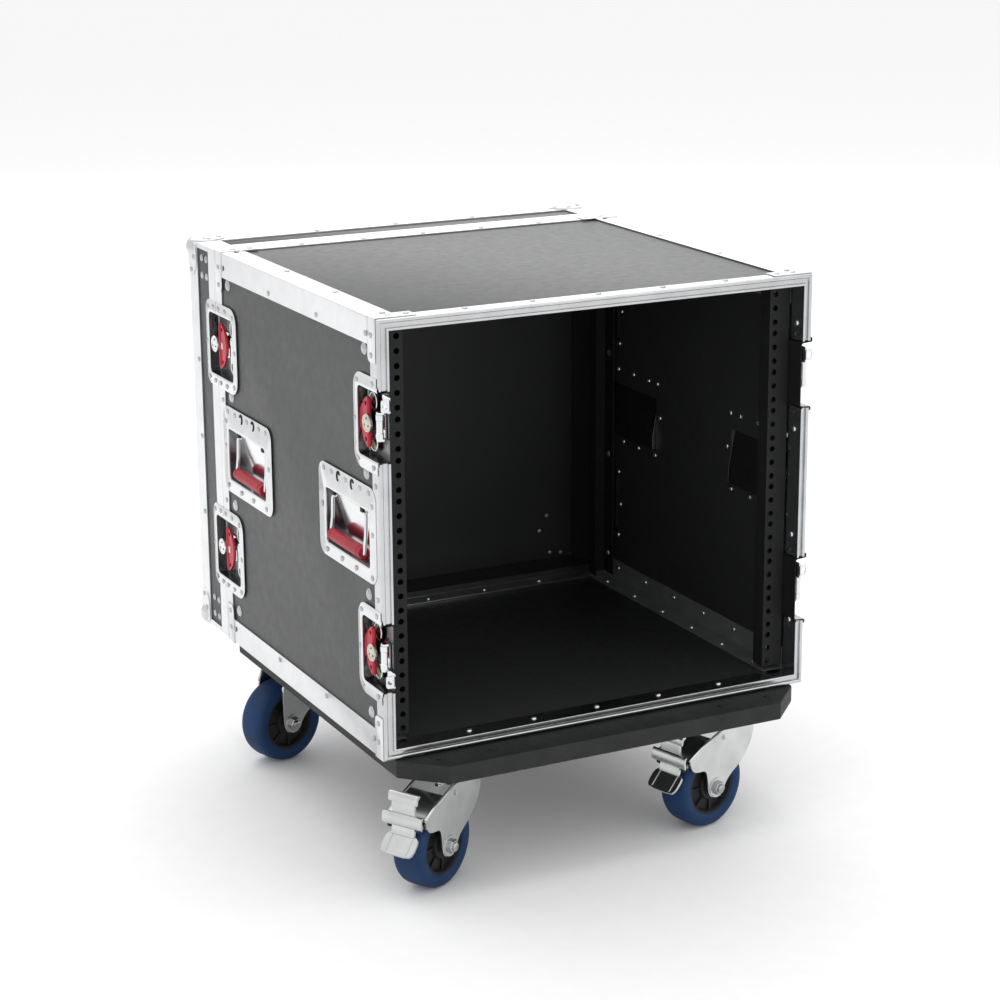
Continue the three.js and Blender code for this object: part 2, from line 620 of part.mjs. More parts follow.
// Each caster is drawn with its axle at the middle: t towards the trail, n along the axle, and
// z up, then turned to its heading about the swivel.
const CROWN = -AXLE_Z + RACE_BOTTOM - 0.4;
const CHEEK = [[46, 44], [39, 29], [16, 25], [14, -5], [10, -11], [-9, -9], [-14, 2], [-39, 19],
  [-56, 41], [-61, 58], [-58, CROWN - 4], [-8, CROWN - 4], [8, 60], [30, 53]];
const CHEEK_INSIDE = WHEEL_HALF + CHEEK_GAP;
const CHEEK_OUTSIDE = CHEEK_INSIDE + CHEEK_SHEET;

function forkSolid(braked) {
  const outline = braked ? CHEEK : CHEEK.filter(([t, z]) => !(t > 15 && z > 24));
  const cheeks = [-1, 1].map((n) => prism('y', outline, n * CHEEK_INSIDE, n * CHEEK_OUTSIDE));
  const crown = box(-59, -12, -CHEEK_OUTSIDE, CHEEK_OUTSIDE, CROWN - 8, CROWN - 4);
  const race = rod('z', -TRAIL, 0, 25, CROWN - 5, CROWN, 16);
  const back = box(-60, -57, -CHEEK_OUTSIDE, CHEEK_OUTSIDE, 42, CROWN - 5);
  const axle = rod('y', 0, 0, AXLE_RADIUS, -CHEEK_OUTSIDE - 4, CHEEK_OUTSIDE + 4, 12);
  const pieces = [...cheeks, crown, race, back, axle];
  if (braked) {
    pieces.push(prism('y', [[8, 57], [8, 60.5], [30, 53.5], [46, 44.5], [46, 41]],
      -CHEEK_OUTSIDE, CHEEK_OUTSIDE));
  }
  return joined(...pieces);
}

function wheelSolid() {
  const half = [[WHEEL_BORE, WHEEL_HALF - 2.5], [15, WHEEL_HALF - 2.5], [32, WHEEL_HALF - 5.5],
    [44, WHEEL_HALF], [WHEEL_RADIUS, WHEEL_HALF - 6.5]];
  const profile = [...half.map(([r, w]) => [r, -w]), ...half.reverse(),
    [WHEEL_BORE, 2.5 - WHEEL_HALF]];
  const geometry = new THREE.LatheGeometry(profile.map(([r, w]) => new THREE.Vector2(r, w)), 32);
  return solidOf(geometry);
}

function pedalSolid() {
  const sheet = (points, half) => prism('y', points, -half, half);
  // A bent plate with a toe tab above, a cross lip, a foot plate below and an ear inside each
  // cheek.
  return joined(
    sheet([[46.6, 70], [50, 70], [52.5, 60], [51.5, 46], [52, 26], [49.4, 26], [48.4, 46],
      [49.2, 60]], 15),
    sheet([[46, 70.5], [48, 73], [51.5, 71], [53, 62], [49.6, 62]], 19),
    sheet([[49, 27.5], [52.4, 27], [68.4, 9.4], [66, 7.4], [52, 21.6]], 21.5),
    sheet([[50.8, 50], [54.5, 48.5], [55.5, 37], [51.2, 35]], CHEEK_OUTSIDE + 1),
    ...[-1, 1].map((n) => box(PEDAL_PIVOT[0] - 3, 51.5, n * (CHEEK_INSIDE - 4.7),
      n * (CHEEK_INSIDE - 1.2), PEDAL_PIVOT[1] - 3.5, PEDAL_PIVOT[1] + 3.5)),
  );
}

CASTERS.forEach(({ name, x, y, braked }) => {
  const swivel = new THREE.Group();
  swivel.position.set(x, y, 0);
  swivel.rotation.z = (HEADINGS[name] * Math.PI) / 180;
  const axleFrame = new THREE.Group();
  axleFrame.position.set(TRAIL, 0, AXLE_Z);
  swivel.add(axleFrame);
  rackCase.add(swivel);
  add(`caster_fork_${name}`, forkSolid(braked), ZINC, axleFrame);
  add(`caster_wheel_${name}`, wheelSolid(), BLUE_RUBBER, axleFrame);
  if (braked) {
    add(`caster_pedal_${name}`, pedalSolid(), ZINC, axleFrame);
  }
});

const model = new THREE.Group();
model.add(rackCase);

export default model;
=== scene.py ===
"""A rolling ten-unit rack case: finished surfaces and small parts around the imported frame."""

import json
from math import cos, radians, sin

import bmesh
import bpy
from mathutils import Matrix, Vector
from mathutils.geometry import tessellate_polygon


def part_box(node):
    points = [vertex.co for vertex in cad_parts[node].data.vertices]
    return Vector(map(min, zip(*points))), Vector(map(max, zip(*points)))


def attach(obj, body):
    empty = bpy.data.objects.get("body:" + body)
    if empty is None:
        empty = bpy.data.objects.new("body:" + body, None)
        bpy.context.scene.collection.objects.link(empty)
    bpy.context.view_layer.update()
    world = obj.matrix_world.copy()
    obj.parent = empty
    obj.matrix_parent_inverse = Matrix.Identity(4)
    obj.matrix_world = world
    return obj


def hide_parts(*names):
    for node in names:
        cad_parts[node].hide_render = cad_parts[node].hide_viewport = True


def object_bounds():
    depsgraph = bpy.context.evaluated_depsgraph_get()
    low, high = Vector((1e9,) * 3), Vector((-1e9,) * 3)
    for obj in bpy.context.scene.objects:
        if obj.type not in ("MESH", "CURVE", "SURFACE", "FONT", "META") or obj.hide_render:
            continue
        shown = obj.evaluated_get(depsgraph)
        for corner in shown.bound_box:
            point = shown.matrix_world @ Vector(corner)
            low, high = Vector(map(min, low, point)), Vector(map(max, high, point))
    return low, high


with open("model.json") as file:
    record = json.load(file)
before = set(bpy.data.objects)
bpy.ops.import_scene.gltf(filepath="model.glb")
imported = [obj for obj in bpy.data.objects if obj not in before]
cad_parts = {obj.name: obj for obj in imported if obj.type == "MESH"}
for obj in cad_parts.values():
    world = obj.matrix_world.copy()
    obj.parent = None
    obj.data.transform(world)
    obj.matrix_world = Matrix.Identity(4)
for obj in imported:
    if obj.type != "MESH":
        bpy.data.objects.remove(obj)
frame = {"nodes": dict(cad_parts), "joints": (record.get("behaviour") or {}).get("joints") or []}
CAD_BOX = [list(corner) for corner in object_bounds()]
MM = 0.001

# -------- places, read from the frame

SIDES = (("left", -1), ("right", 1))
ENDS = ("front", "rear")
LEVELS = ("upper", "lower")
TONGUE = 2.0  # the front extrusion's tongue stands this far past its seam
LAMINATE_DEPTH = 1.8  # the laminate lies this far below the outside of the edging
INNER_FACE = 10.8  # the panels' inner faces lie this far below the outside

frame_low, frame_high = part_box("front_frame_top")
LEFT, RIGHT, TOP = frame_low.x, frame_high.x, frame_high.z
FRONT = frame_low.y + TONGUE * MM
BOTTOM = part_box("front_frame_bottom")[0].z
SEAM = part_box("rear_frame")[1].y
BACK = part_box("lid_shell")[1].y + LAMINATE_DEPTH * MM
# (height, the direction away from the case) of its top and its bottom.
FLATS = ((TOP, 1), (BOTTOM, -1))
# (place, the direction into the body) of the seams at its two ends.
SEAMS = {"front": (FRONT, 1), "rear": (SEAM, -1)}


def middle_height(node):
    low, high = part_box(node)
    return ((low + high) / 2).z


def side_edge(sign):
    return RIGHT if sign > 0 else LEFT


def linked(name, data):
    made = bpy.data.objects.new(name, data)
    bpy.context.scene.collection.objects.link(made)
    return made


LATCH_Z = {level: middle_height(f"latch_dish_front_left_{level}") for level in LEVELS}


def wall(sign, end, height):
    """The frame of a spot on a side wall, in metres: local x runs from the seam into the body,
    local y up and local z inwards from the outside."""
    seam, direction = SEAMS[end]
    return Matrix(((0, 0, -sign, side_edge(sign)), (direction, 0, 0, seam), (0, 1, 0, height),
                   (0, 0, 0, 1)))


# -------- materials

COLOUR_NOISE = (38, 6)  # (scale per metre, detail)
COLOUR_RAMP = (0.32, 0.68)
ROUGHNESS_NOISE = (90, 4)
ROUGHNESS_SPREAD = (0.8, 1.25)
PLAIN_BUMP = (300, 0.04, 3)
BUMP_HEIGHT = 0.0006


def put(node, **values):
    """Sets a node's inputs. An underscore stands for a space."""
    for socket, value in values.items():
        node.inputs[socket.replace("_", " ")].default_value = value


def material(name, colour, variation, roughness, metallic=0.0, bump=PLAIN_BUMP, grain=(1, 1, 1),
             specular=0.5):
    """A procedural surface: colour and roughness drift with noise, and bump is (scale per metre,
    strength, detail). grain stretches the noise along one axis, as brushing does."""
    made = bpy.data.materials.new(name)
    made.use_nodes = True
    nodes, links = made.node_tree.nodes, made.node_tree.links
    shader = nodes["Principled BSDF"]
    put(shader, Metallic=metallic, Specular_IOR_Level=specular)
    where = nodes.new("ShaderNodeTexCoord")
    stretch = nodes.new("ShaderNodeMapping")
    put(stretch, Scale=grain)
    links.new(where.outputs["Object"], stretch.inputs["Vector"])

    def noise(scale, detail):
        texture = nodes.new("ShaderNodeTexNoise")
        put(texture, Scale=scale, Detail=detail)
        links.new(stretch.outputs["Vector"], texture.inputs["Vector"])
        return texture.outputs["Fac"]

    ramp = nodes.new("ShaderNodeValToRGB")
    for stop, place, change in zip(ramp.color_ramp.elements, COLOUR_RAMP, (-variation, variation)):
        stop.position = place
        stop.color = (*[min(1, part * (1 + change)) for part in colour], 1)
    links.new(noise(*COLOUR_NOISE), ramp.inputs["Fac"])
    links.new(ramp.outputs["Color"], shader.inputs["Base Color"])

    spread = nodes.new("ShaderNodeMapRange")
    low, high = ROUGHNESS_SPREAD
    put(spread, To_Min=roughness * low, To_Max=roughness * high)
    links.new(noise(*ROUGHNESS_NOISE), spread.inputs["Value"])
    links.new(spread.outputs["Result"], shader.inputs["Roughness"])

    scale, strength, detail = bump
    relief = nodes.new("ShaderNodeBump")
    put(relief, Strength=strength, Distance=BUMP_HEIGHT)
    links.new(noise(scale, detail), relief.inputs["Height"])
    links.new(relief.outputs["Normal"], shader.inputs["Normal"])
    return made


LAMINATE_SKIN = 5.0  # the grey side is told from the black one by this depth
BLACK_INSIDE = (0.026, 0.027, 0.0275, 1)


def two_sided_laminate():
    """Pebbled dark grey laminate outside and near-black inside, told by how near a point lies to
    the outer faces."""
    made = material("laminate", (0.046, 0.0475, 0.0495), 0.05, 0.42, bump=(900, 0.13, 2),
                    specular=0.37)
    nodes, links = made.node_tree.nodes, made.node_tree.links
    where = nodes.new("ShaderNodeTexCoord")
    parts = nodes.new("ShaderNodeSeparateXYZ")
    links.new(where.outputs["Object"], parts.inputs["Vector"])

    def maths(operation, *values):
        node = nodes.new("ShaderNodeMath")
        node.operation = operation
        for socket, value in zip(node.inputs, values):
            if isinstance(value, float):
                socket.default_value = value
            else:
                links.new(value, socket)
        return node.outputs["Value"]

    def beyond(axis, low, high):
        """Is the point in the skin of either side of the box along an axis?"""
        away = maths("ABSOLUTE", maths("SUBTRACT", parts.outputs[axis], (low + high) / 2))
        return maths("GREATER_THAN", away, (high - low) / 2 - LAMINATE_SKIN * MM)

    sides, flats = beyond("X", LEFT, RIGHT), beyond("Z", BOTTOM, TOP)
    back = maths("GREATER_THAN", parts.outputs["Y"], BACK - LAMINATE_SKIN * MM)
    outside = maths("MAXIMUM", maths("MAXIMUM", sides, flats), back)
    shader = nodes["Principled BSDF"]
    outer_colour = shader.inputs["Base Color"].links[0].from_socket
    mix = nodes.new("ShaderNodeMix")
    mix.data_type = "RGBA"
    mix.inputs["A"].default_value = BLACK_INSIDE
    links.new(outside, mix.inputs["Factor"])
    links.new(outer_colour, mix.inputs["B"])
    links.new(mix.outputs["Result"], shader.inputs["Base Color"])
    return made


LAMINATE = two_sided_laminate()
ALUMINIUM = material("aluminium", (0.71, 0.72, 0.73), 0.04, 0.3, 1.0, bump=(260, 0.05, 4))
FRAME_ALUMINIUM = material("frame_aluminium", (0.56, 0.57, 0.58), 0.06, 0.22, 1.0, bump=(200, 0.05, 3))
STEEL = material("plated_steel", (0.69, 0.70, 0.71), 0.06, 0.17, 1.0, bump=(120, 0.09, 3))
CHROME = material("chrome", (0.74, 0.75, 0.77), 0.03, 0.09, 1.0, bump=(150, 0.03, 2))
# Dark steel painted as the shade in the latch pockets and on a pan's two end walls.
POCKET_SHADE = material("pocket_painted_shade", (0.20, 0.205, 0.21), 0.25, 0.24, 1.0, bump=(120, 0.1, 3))
CAM = material("cam_zinc", (0.24, 0.22, 0.13), 0.25, 0.22, 1.0, bump=(160, 0.1, 3))
HUB = material("hub_zinc", (0.52, 0.50, 0.42), 0.15, 0.2, 1.0, bump=(160, 0.1, 3))
# The rivets' own steel, made darker as painted shade so that each head shows as a dark ring.
RIVET = material("rivet_steel", (0.44, 0.45, 0.46), 0.12, 0.2, 1.0)
# Brighter than the heads outside: a painted highlight for the glints of the tails inside the case.
BRIGHT_TAIL = material("rivet_tail", (0.85, 0.86, 0.87), 0.06, 0.3, 1.0)
PAN = material("pan_steel", (0.73, 0.735, 0.74), 0.05, 0.13, 1.0, bump=(120, 0.06, 3))
INNER_ANGLE = material("inner_angle_coat", (0.12, 0.124, 0.126), 0.12, 0.42, bump=(500, 0.1, 3))
# Zinc of the casters; on the lid's ball shells the same darker look is painted shade.
CASTER_ZINC_AND_BALL_SHADE = material("caster_zinc_and_ball_shade", (0.58, 0.59, 0.59), 0.09, 0.24, 1.0, bump=(90, 0.12, 4))
RAIL = material("rail_coat", (0.0115, 0.012, 0.0122), 0.1, 0.55, bump=(700, 0.12, 3), specular=0.22)
RED = material("red_paint", (0.42, 0.012, 0.032), 0.08, 0.3, bump=(400, 0.08, 3), specular=0.35)
RED_GRIP = material("red_grip", (0.34, 0.010, 0.028), 0.12, 0.42, bump=(500, 0.15, 3), specular=0.3)
BLACK_BOARD = material("black_board", (0.017, 0.018, 0.018), 0.18, 0.6, bump=(240, 0.3, 6),
                       grain=(1, 0.25, 1), specular=0.3)
BLACK = material("black_plastic", (0.009, 0.009, 0.0095), 0.15, 0.55, bump=(400, 0.1, 3),
                 specular=0.3)
TYRE = material("blue_rubber", (0.007, 0.032, 0.098), 0.14, 0.6, bump=(350, 0.12, 4), specular=0.25)

# -------- mesh tools

PLANES = {"xy": (0, 1, 2), "xz": (0, 2, 1), "zy": (2, 1, 0), "zx": (2, 0, 1)}
LEAST_RADIUS = 0.02
CORNER_CUT = 0.22  # the share of a side that softened() cuts away at each end
WELD_DISTANCE = 1e-6
SHARP_ANGLE = 35
BEVEL_ANGLE = 40


def in_plane(plane, a, b, level):
    """A local point from its place in a plane and its level along the third axis."""
    point = [0, 0, 0]
    for axis, value in zip(PLANES[plane], (a, b, level)):
        point[axis] = value
    return point


def oval(x, y, across, up, angles):
    return [(x + across * cos(radians(a)), y + up * sin(radians(a))) for a in angles]


def arc(x, y, radius, start, stop, steps):
    turns = [start + (stop - start) * i / steps for i in range(steps + 1)]
    return oval(x, y, radius, radius, turns)


def circle(x, y, radius, sides=16):
    return arc(x, y, radius, 0, 360, sides)[:-1]


def rounded(x0, x1, y0, y1, radii, steps=5):
    """A rectangle's outline, counter-clockwise from (x0, y0), with one radius or four."""
    corners = ((x0, y0, 180), (x1, y0, 270), (x1, y1, 0), (x0, y1, 90))
    points = []
    for (x, y, start), radius in zip(corners, radii if isinstance(radii, tuple) else [radii] * 4):
        radius = max(radius, LEAST_RADIUS)
        centre_x = x + radius if x == x0 else x - radius
        centre_y = y + radius if y == y0 else y - radius
        points += arc(centre_x, centre_y, radius, start, start + 90, steps)
    return points


def softened(points, rounds=2):
    """An outline with its corners cut again and again, so that it turns into smooth curves."""
    near, far = 1 - CORNER_CUT, CORNER_CUT
    for _ in range(rounds):
        cut = []
        for (x0, y0), (x1, y1) in zip(points, points[1:] + points[:1]):
            cut.append((x0 * near + x1 * far, y0 * near + y1 * far))
            cut.append((x0 * far + x1 * near, y0 * far + y1 * near))
        points = cut
    return points


class Shape:
    """Bodies drawn in millimetres in a local frame and joined into one piece."""

    def __init__(self, place=None):
        self.place = place or Matrix.Identity(4)
        self.mesh = bmesh.new()

    def corner(self, point, place=None):
        return self.mesh.verts.new((place or self.place) @ (Vector(point) * MM))

    def loft(self, loops, slots=None, ring=False, place=None):
        """Skins a row of equal loops, which a ring closes on its first loop and anything else
        caps. slots gives each band's material."""
        rows = [[self.corner(point, place) for point in loop] for loop in loops]
        pairs = list(zip(rows, rows[1:] + rows[:1])) if ring else list(zip(rows, rows[1:]))
        slots = slots or [0] * len(pairs)
        for band, (row, following) in enumerate(pairs):
            for i in range(len(row)):
                j = (i + 1) % len(row)
                face = self.mesh.faces.new((row[i], row[j], following[j], following[i]))
                face.material_index = slots[band]
        if not ring:
            self.mesh.faces.new(rows[0]).material_index = slots[0]
            self.mesh.faces.new(rows[-1]).material_index = slots[-1]

    def slab(self, plane, outline, low, high, slot=0, place=None):
        """A flat outline in two local axes, pushed along the third."""
        loops = [[in_plane(plane, a, b, level) for a, b in outline] for level in (low, high)]
        self.loft(loops, [slot], place=place)

    def plate(self, plane, outline, holes, low, high, slot=0):
        """A slab with holes through it."""
        rims = [outline, *holes]
        triangles = tessellate_polygon([[Vector((a, b, 0)) for a, b in rim] for rim in rims])
        sheets = []
        for level in (low, high):
            sheet = [self.corner(in_plane(plane, a, b, level)) for rim in rims for a, b in rim]
            sheets.append(sheet)
            for triangle in triangles:
                self.mesh.faces.new([sheet[i] for i in triangle]).material_index = slot
        first = 0
        for rim in rims:
            for i in range(len(rim)):
                a, b = first + i, first + (i + 1) % len(rim)
                edge_face = (sheets[0][a], sheets[0][b], sheets[1][b], sheets[1][a])
                self.mesh.faces.new(edge_face).material_index = slot
            first += len(rim)

    def block(self, x0, x1, y0, y1, z0, z1, slot=0, place=None):
        self.slab("xy", [(x0, y0), (x1, y0), (x1, y1), (x0, y1)], z0, z1, slot, place)

    def lathe(self, profile, at=(0, 0, 0), plane="xy", sides=24, slot=0, place=None):
        """Turns (radius, height) pairs about the axis that plane leaves out, through at."""
        loops = []
        for radius, height in profile:
            turned = [in_plane(plane, a, b, height) for a, b in circle(0, 0, radius, sides)]
            loops.append([[start + step for start, step in zip(at, point)] for point in turned])
        self.loft(loops, [slot] * (len(loops) - 1), place=place)

    def wire(self, points, radius, sides=12, slot=0):
        """A round bar through a row of points."""
        points = [Vector(point) for point in points]
        loops = []
        side = None
        for i, point in enumerate(points):
            ahead = (points[min(i + 1, len(points) - 1)] - points[max(i - 1, 0)]).normalized()
            if side is None:
                side = ahead.orthogonal().normalized()
            side = (side - ahead * side.dot(ahead)).normalized()
            other = ahead.cross(side)
            loops.append([point + a * side + b * other for a, b in circle(0, 0, radius, sides)])
        self.loft(loops, [slot] * (len(loops) - 1))

    def cut(self, at, keep):
        """Cuts everything at local x = at and keeps the side that keep points to, left open."""
        where = self.place @ Vector((at * MM, 0, 0))
        normal = (self.place.to_3x3() @ Vector((keep, 0, 0))).normalized()
        geometry = self.mesh.verts[:] + self.mesh.edges[:] + self.mesh.faces[:]
        bmesh.ops.bisect_plane(self.mesh, geom=geometry, plane_co=where, plane_no=normal,
                               clear_inner=True, dist=WELD_DISTANCE)

    def split(self, at, keep):
        """A cut whose open edges are closed."""
        self.cut(at, keep)
        edges = [edge for edge in self.mesh.edges if edge.is_boundary]
        bmesh.ops.holes_fill(self.mesh, edges=edges, sides=0)

    def join(self, other):
        spare = bpy.data.meshes.new("spare")
        other.mesh.to_mesh(spare)
        self.mesh.from_mesh(spare)
        bpy.data.meshes.remove(spare)
        other.mesh.free()

    def piece(self, name, body, looks, slot, stands_for=(), bevel=0.35):
        """Makes the object, lets it ride on its body and hides the CAD parts that it stands for."""
        bmesh.ops.recalc_face_normals(self.mesh, faces=self.mesh.faces[:])
        data = bpy.data.meshes.new(name)
        self.mesh.to_mesh(data)
        self.mesh.free()
        for look in looks:
            data.materials.append(look)
        made = linked(name, data)
        soften(made, bevel)
        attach(made, body)
        if stands_for:
            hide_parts(*stands_for)


def soften(made, bevel):
    """Rounds sharp edges a little, as on real sheet."""
    made.data.shade_smooth()
    made.data.set_sharp_from_angle(angle=radians(SHARP_ANGLE))
    if bevel:
        rounding = made.modifiers.new("edge_rounding", "BEVEL")
        rounding.width = bevel * MM
        rounding.segments = 2
        rounding.limit_method = "ANGLE"
        rounding.angle_limit = radians(BEVEL_ANGLE)
        rounding.harden_normals = True


# -------- rivets and bolts

# Turned profiles, as (radius, height above the sheet).
RIVET_HEAD = ((3.3, -0.4), (3.3, 0.3), (2.9, 0.85), (1.9, 1.25), (0.7, 1.4))
BOLT_HEAD = ((6.8, -0.4), (6.8, 0.4), (6.0, 1.5), (4.0, 2.3), (1.4, 2.6))
SMALL_BOLT_HEAD = ((4.4, -0.4), (4.4, 0.5), (3.6, 1.4), (1.6, 1.9), (0.5, 2.0))
TAIL_HEAD = ((3.2, -0.4), (3.2, 0.4), (2.6, 1.3), (1.0, 1.8))
INSIDE_SLOT = 1  # the look of heads on an inner face, bright as a painted highlight


def facing(point, normal):
    """A frame at a point in metres whose local z looks along normal."""
    turned = Vector(normal).to_track_quat("Z", "Y").to_matrix().to_4x4()
    return Matrix.Translation(point) @ turned


def rivets(shape, points, normal, head=RIVET_HEAD, sides=12, slot=0):
    """One turned head at each point in metres, standing along normal."""
    for point in points:
        shape.lathe(head, sides=sides, slot=slot, place=facing(Vector(point), normal))


def fasteners(shape, name, body):
    # Heads take the darkened steel, painted shade; tails inside take the bright look, a painted
    # highlight.
    shape.piece(name, body, [RIVET, BRIGHT_TAIL], "zinc", bevel=0)


def rivet_tails(shape, points, normal):
    rivets(shape, points, normal, TAIL_HEAD, 10, INSIDE_SLOT)


# -------- end frames

# Sections are (depth below the outside, reach from the seam). The front one has a round bead, a
# recess and a thin tongue that the front lid would close over.
FRAME_INSIDE = 12.3  # depth of an extrusion's inner face
BODY_LEGS, LID_LEGS = (19.2, 24), (22, 22)  # reach of the outer and the inner leg
FRONT_SECTION = [(0, 19.2), (0, 3.7), (0.7, 3.1), *arc(2.2, 2.0, 2.2, 172, 352, 8), (4.9, 2.7),
                 (9.2, 2.1), (9.8, 1.4), (9.8, -1.6), (10.2, -2.0), (11.9, -2.0), (12.3, -1.6),
                 (12.3, 24), (11.1, 24), (11.1, 3.2), (1.5, 3.2), (1.5, 19.2)]
FRONT_POCKET, REAR_POCKET = 38.5, 37.2  # half the height that each latch pocket interrupts
SEAM_GAP = 0.3


def closing_section(outer_leg, inner_leg):
    return [(0, outer_leg), (0, 1.0), (0.8, 0.2), (FRAME_INSIDE, 0.2), (FRAME_INSIDE, inner_leg),
            (11.1, inner_leg), (11.1, 3), (1.5, 3), (1.5, outer_leg)]


def frame_run(shape, section, seam, direction, stations, ring=False):
    """Sweeps a section past stations (sign, height or corner). A corner is "top" or "bottom",
    where the section is mitred."""
    loops = []
    for sign, height in stations:
        loop = []
        for depth, reach in section:
            x = side_edge(sign) / MM - sign * depth
            z = {"top": TOP / MM - depth, "bottom": BOTTOM / MM + depth}.get(height, height)
            loop.append((x, seam / MM + direction * reach, z))
        loops.append(loop)
    shape.loft(loops, ring=ring)


def frame_stations(pocket):
    """The four interrupted runs of an end frame between its latch pockets."""
    upper, lower = (LATCH_Z[level] / MM for level in LEVELS)
    runs = {}
    for name, end in (("top", upper + pocket), ("bottom", lower - pocket)):
        runs[name] = [(-1, end), (-1, name), (1, name), (1, end)]
    for side, sign in SIDES:
        runs[side] = [(sign, lower + pocket), (sign, upper - pocket)]
    return runs


def front_frame():
    for name, stations in frame_stations(FRONT_POCKET).items():
        run = Shape()
        frame_run(run, FRONT_SECTION, FRONT, 1, stations)
        run.piece(f"front_extrusion_{name}", "case", [FRAME_ALUMINIUM], "aluminium",
                  [f"front_frame_{name}"], bevel=0.15)


# -------- stamped dishes

DISH_SKIN = 1.0
LATCH_FLOOR = 12.0
# The third look is painted shade, for the pockets' walls and floors and the pans' end walls.
DISH_LOOKS = [STEEL, BLACK, POCKET_SHADE]
FLANGE_SLOT, PAINT_SLOT, POCKET_SHADE_SLOT, PAN_SLOT = range(4)
FLANGE_TOP = -0.9

# A dish's rings as (growth, depth): its flange's edge, its lip, its pocket's wall, and its back.
FLANGE_EDGE = ((0, 0), (0, -0.5), (-0.6, FLANGE_TOP))
FLANGE_LIP = ((5.2, FLANGE_TOP), (3.6, -1.6), (1.2, -1.6), (0, -0.8))
POCKET_WALL = ((-1.0, LATCH_FLOOR - 1.4), (-2.2, LATCH_FLOOR))
POCKET_BACK = ((1.1, 0), (0, LATCH_FLOOR), (-1.4, LATCH_FLOOR + DISH_SKIN))

# The flange's (x0, x1, y0, y1) and corner radii, and the same of the pocket, from the seam.
POCKET_RADII = (6, 6, 6, 6)
FRONT_DISH = ((-40, 63, -51.5, 51.5), (18, 18, 18, 18), (-40, 52, -37, 37))
REAR_DISH = ((-34, 63, -51.5, 51.5), (12, 18, 18, 12), (-24, 52, -37, 37))
MOUTH_RIM = (-40, 53.5, -37.6, 37.6)  # the rim that the front pocket keeps up to its mouth
FLANGE_END = 3.3

DISH_RIVETS = {
    "front": ((14, 45), (53, 42), (58, 0), (53, -42), (14, -45)),
    "rear": ((8, 45), (29, 45), (53, 42), (58, 0), (53, -42), (29, -45), (8, -45)),
}
LID_DISH_RIVETS = ((-9, 45), (-28, 43), (-29.5, 0), (-28, -43), (-9, -45))


def rings(rectangle, radii, steps):
    """A rectangle's outline at each of the (growth, depth) steps."""
    x0, x1, y0, y1 = rectangle
    found = []
    for grow, depth in steps:
        grown = tuple(radius + grow for radius in radii)
        outline = rounded(x0 - grow, x1 + grow, y0 - grow, y1 + grow, grown)
        found.append([(x, y, depth) for x, y in outline])
    return found


def flange_rings(outer, radii, pocket, pocket_radii):
    """The outer side of a stamped flange."""
    return rings(outer, radii, FLANGE_EDGE) + rings(pocket, pocket_radii, FLANGE_LIP)


def latch_dish(place, outer, radii, pocket, seam, keep):
    """A latch dish, cut off at the seam."""
    shape = Shape(place)
    front = flange_rings(outer, radii, pocket, POCKET_RADII) + rings(pocket, POCKET_RADII, POCKET_WALL)
    back = rings(pocket, POCKET_RADII, POCKET_BACK)
    # The pocket's wall and floor take the painted shade; the back is black.
    slots = [POCKET_SHADE_SLOT] * 2 + [FLANGE_SLOT] * (len(front) - 2) + [PAINT_SLOT] * len(back)
    shape.loft(front[::-1] + back, slots)
    shape.split(seam, keep)
    return shape


def front_dishes():
    """Beside the extrusion a front dish has no flange: only its pocket runs on to the seam."""
    for side, sign in SIDES:
        for level in LEVELS:
            place = wall(sign, "front", LATCH_Z[level])
            dish = latch_dish(place, *FRONT_DISH, FLANGE_END, 1)
            mouth = latch_dish(place, MOUTH_RIM, POCKET_RADII, FRONT_DISH[2], SEAM_GAP, 1)
            mouth.cut(FLANGE_END, -1)
            dish.join(mouth)
            dish.piece(f"front_dish_{side}_{level}", "case", DISH_LOOKS, "zinc",
                       [f"latch_dish_front_{side}_{level}"], bevel=0)


def rear_and_lid_frames():
    rear, valance = Shape(), Shape()
    for stations in frame_stations(REAR_POCKET).values():
        frame_run(rear, closing_section(*BODY_LEGS), SEAM, -1, stations)
        frame_run(valance, closing_section(*LID_LEGS), SEAM + SEAM_GAP * MM, 1, stations)
    rear.piece("rear_extrusion", "case", [ALUMINIUM], "aluminium", ["rear_frame"], bevel=0.2)
    valance.piece("lid_extrusion", "lid", [ALUMINIUM], "aluminium", ["lid_valance"], bevel=0.2)
    for side, sign in SIDES:
        for level in LEVELS:
            place = wall(sign, "rear", LATCH_Z[level])
            for body, keep in (("case", 1), ("lid", -1)):
                half = latch_dish(place, *REAR_DISH, keep * SEAM_GAP, keep)
                half.piece(f"rear_dish_{body}_{side}_{level}", body, DISH_LOOKS, "zinc", bevel=0)


def on_wall(place, spots, depth):
    return [place @ (Vector((x, y, depth)) * MM) for x, y in spots]


# -------- latches

# The places of each end's wing root, disc and roller, from the seam.
LATCH_LAYOUT = {"front": (30.5, 29, 8), "rear": (3, -7, 42)}

# The wing, from its root: a plate with two holes, a rolled spine and a rim at its tip.
WING_OUTLINE = [(0, -27), (6, -27), (15, -19), (20.5, -7), (20.5, 7), (15, 19), (6, 27), (0, 27)]
WING_LEVELS = (2, 4.6)
WING_HOLES, WING_HOLE = ((7.5, -19.5), (7.5, 19.5)), 2.5
WING_SPINE, SPINE_RADIUS = ((1.5, -25.5, 3.4), (1, -22, 3.1), (1, 22, 3.1), (1.5, 25.5, 3.4)), 2.6
TIP_DEPTH, TIP_RADIUS = 3.2, 2.0

# The disc that turns the cam, its three dots, and its arm to the wing.
DISC_PROFILE = ((8.2, 2.2), (8.2, 0.6), (10, 0.2), (10, -1.2), (9.2, -2.0), (8.2, -2.1),
                (6.6, -1.2), (4.4, -1.6), (1, -1.8))
DISC_DOT, DISC_DOT_RING = ((1.2, -1.0), (1.2, -1.75)), 4.9
ARM_REACH, ARM_HALF, ARM_LEVELS = 9, 4, (1.6, 3)

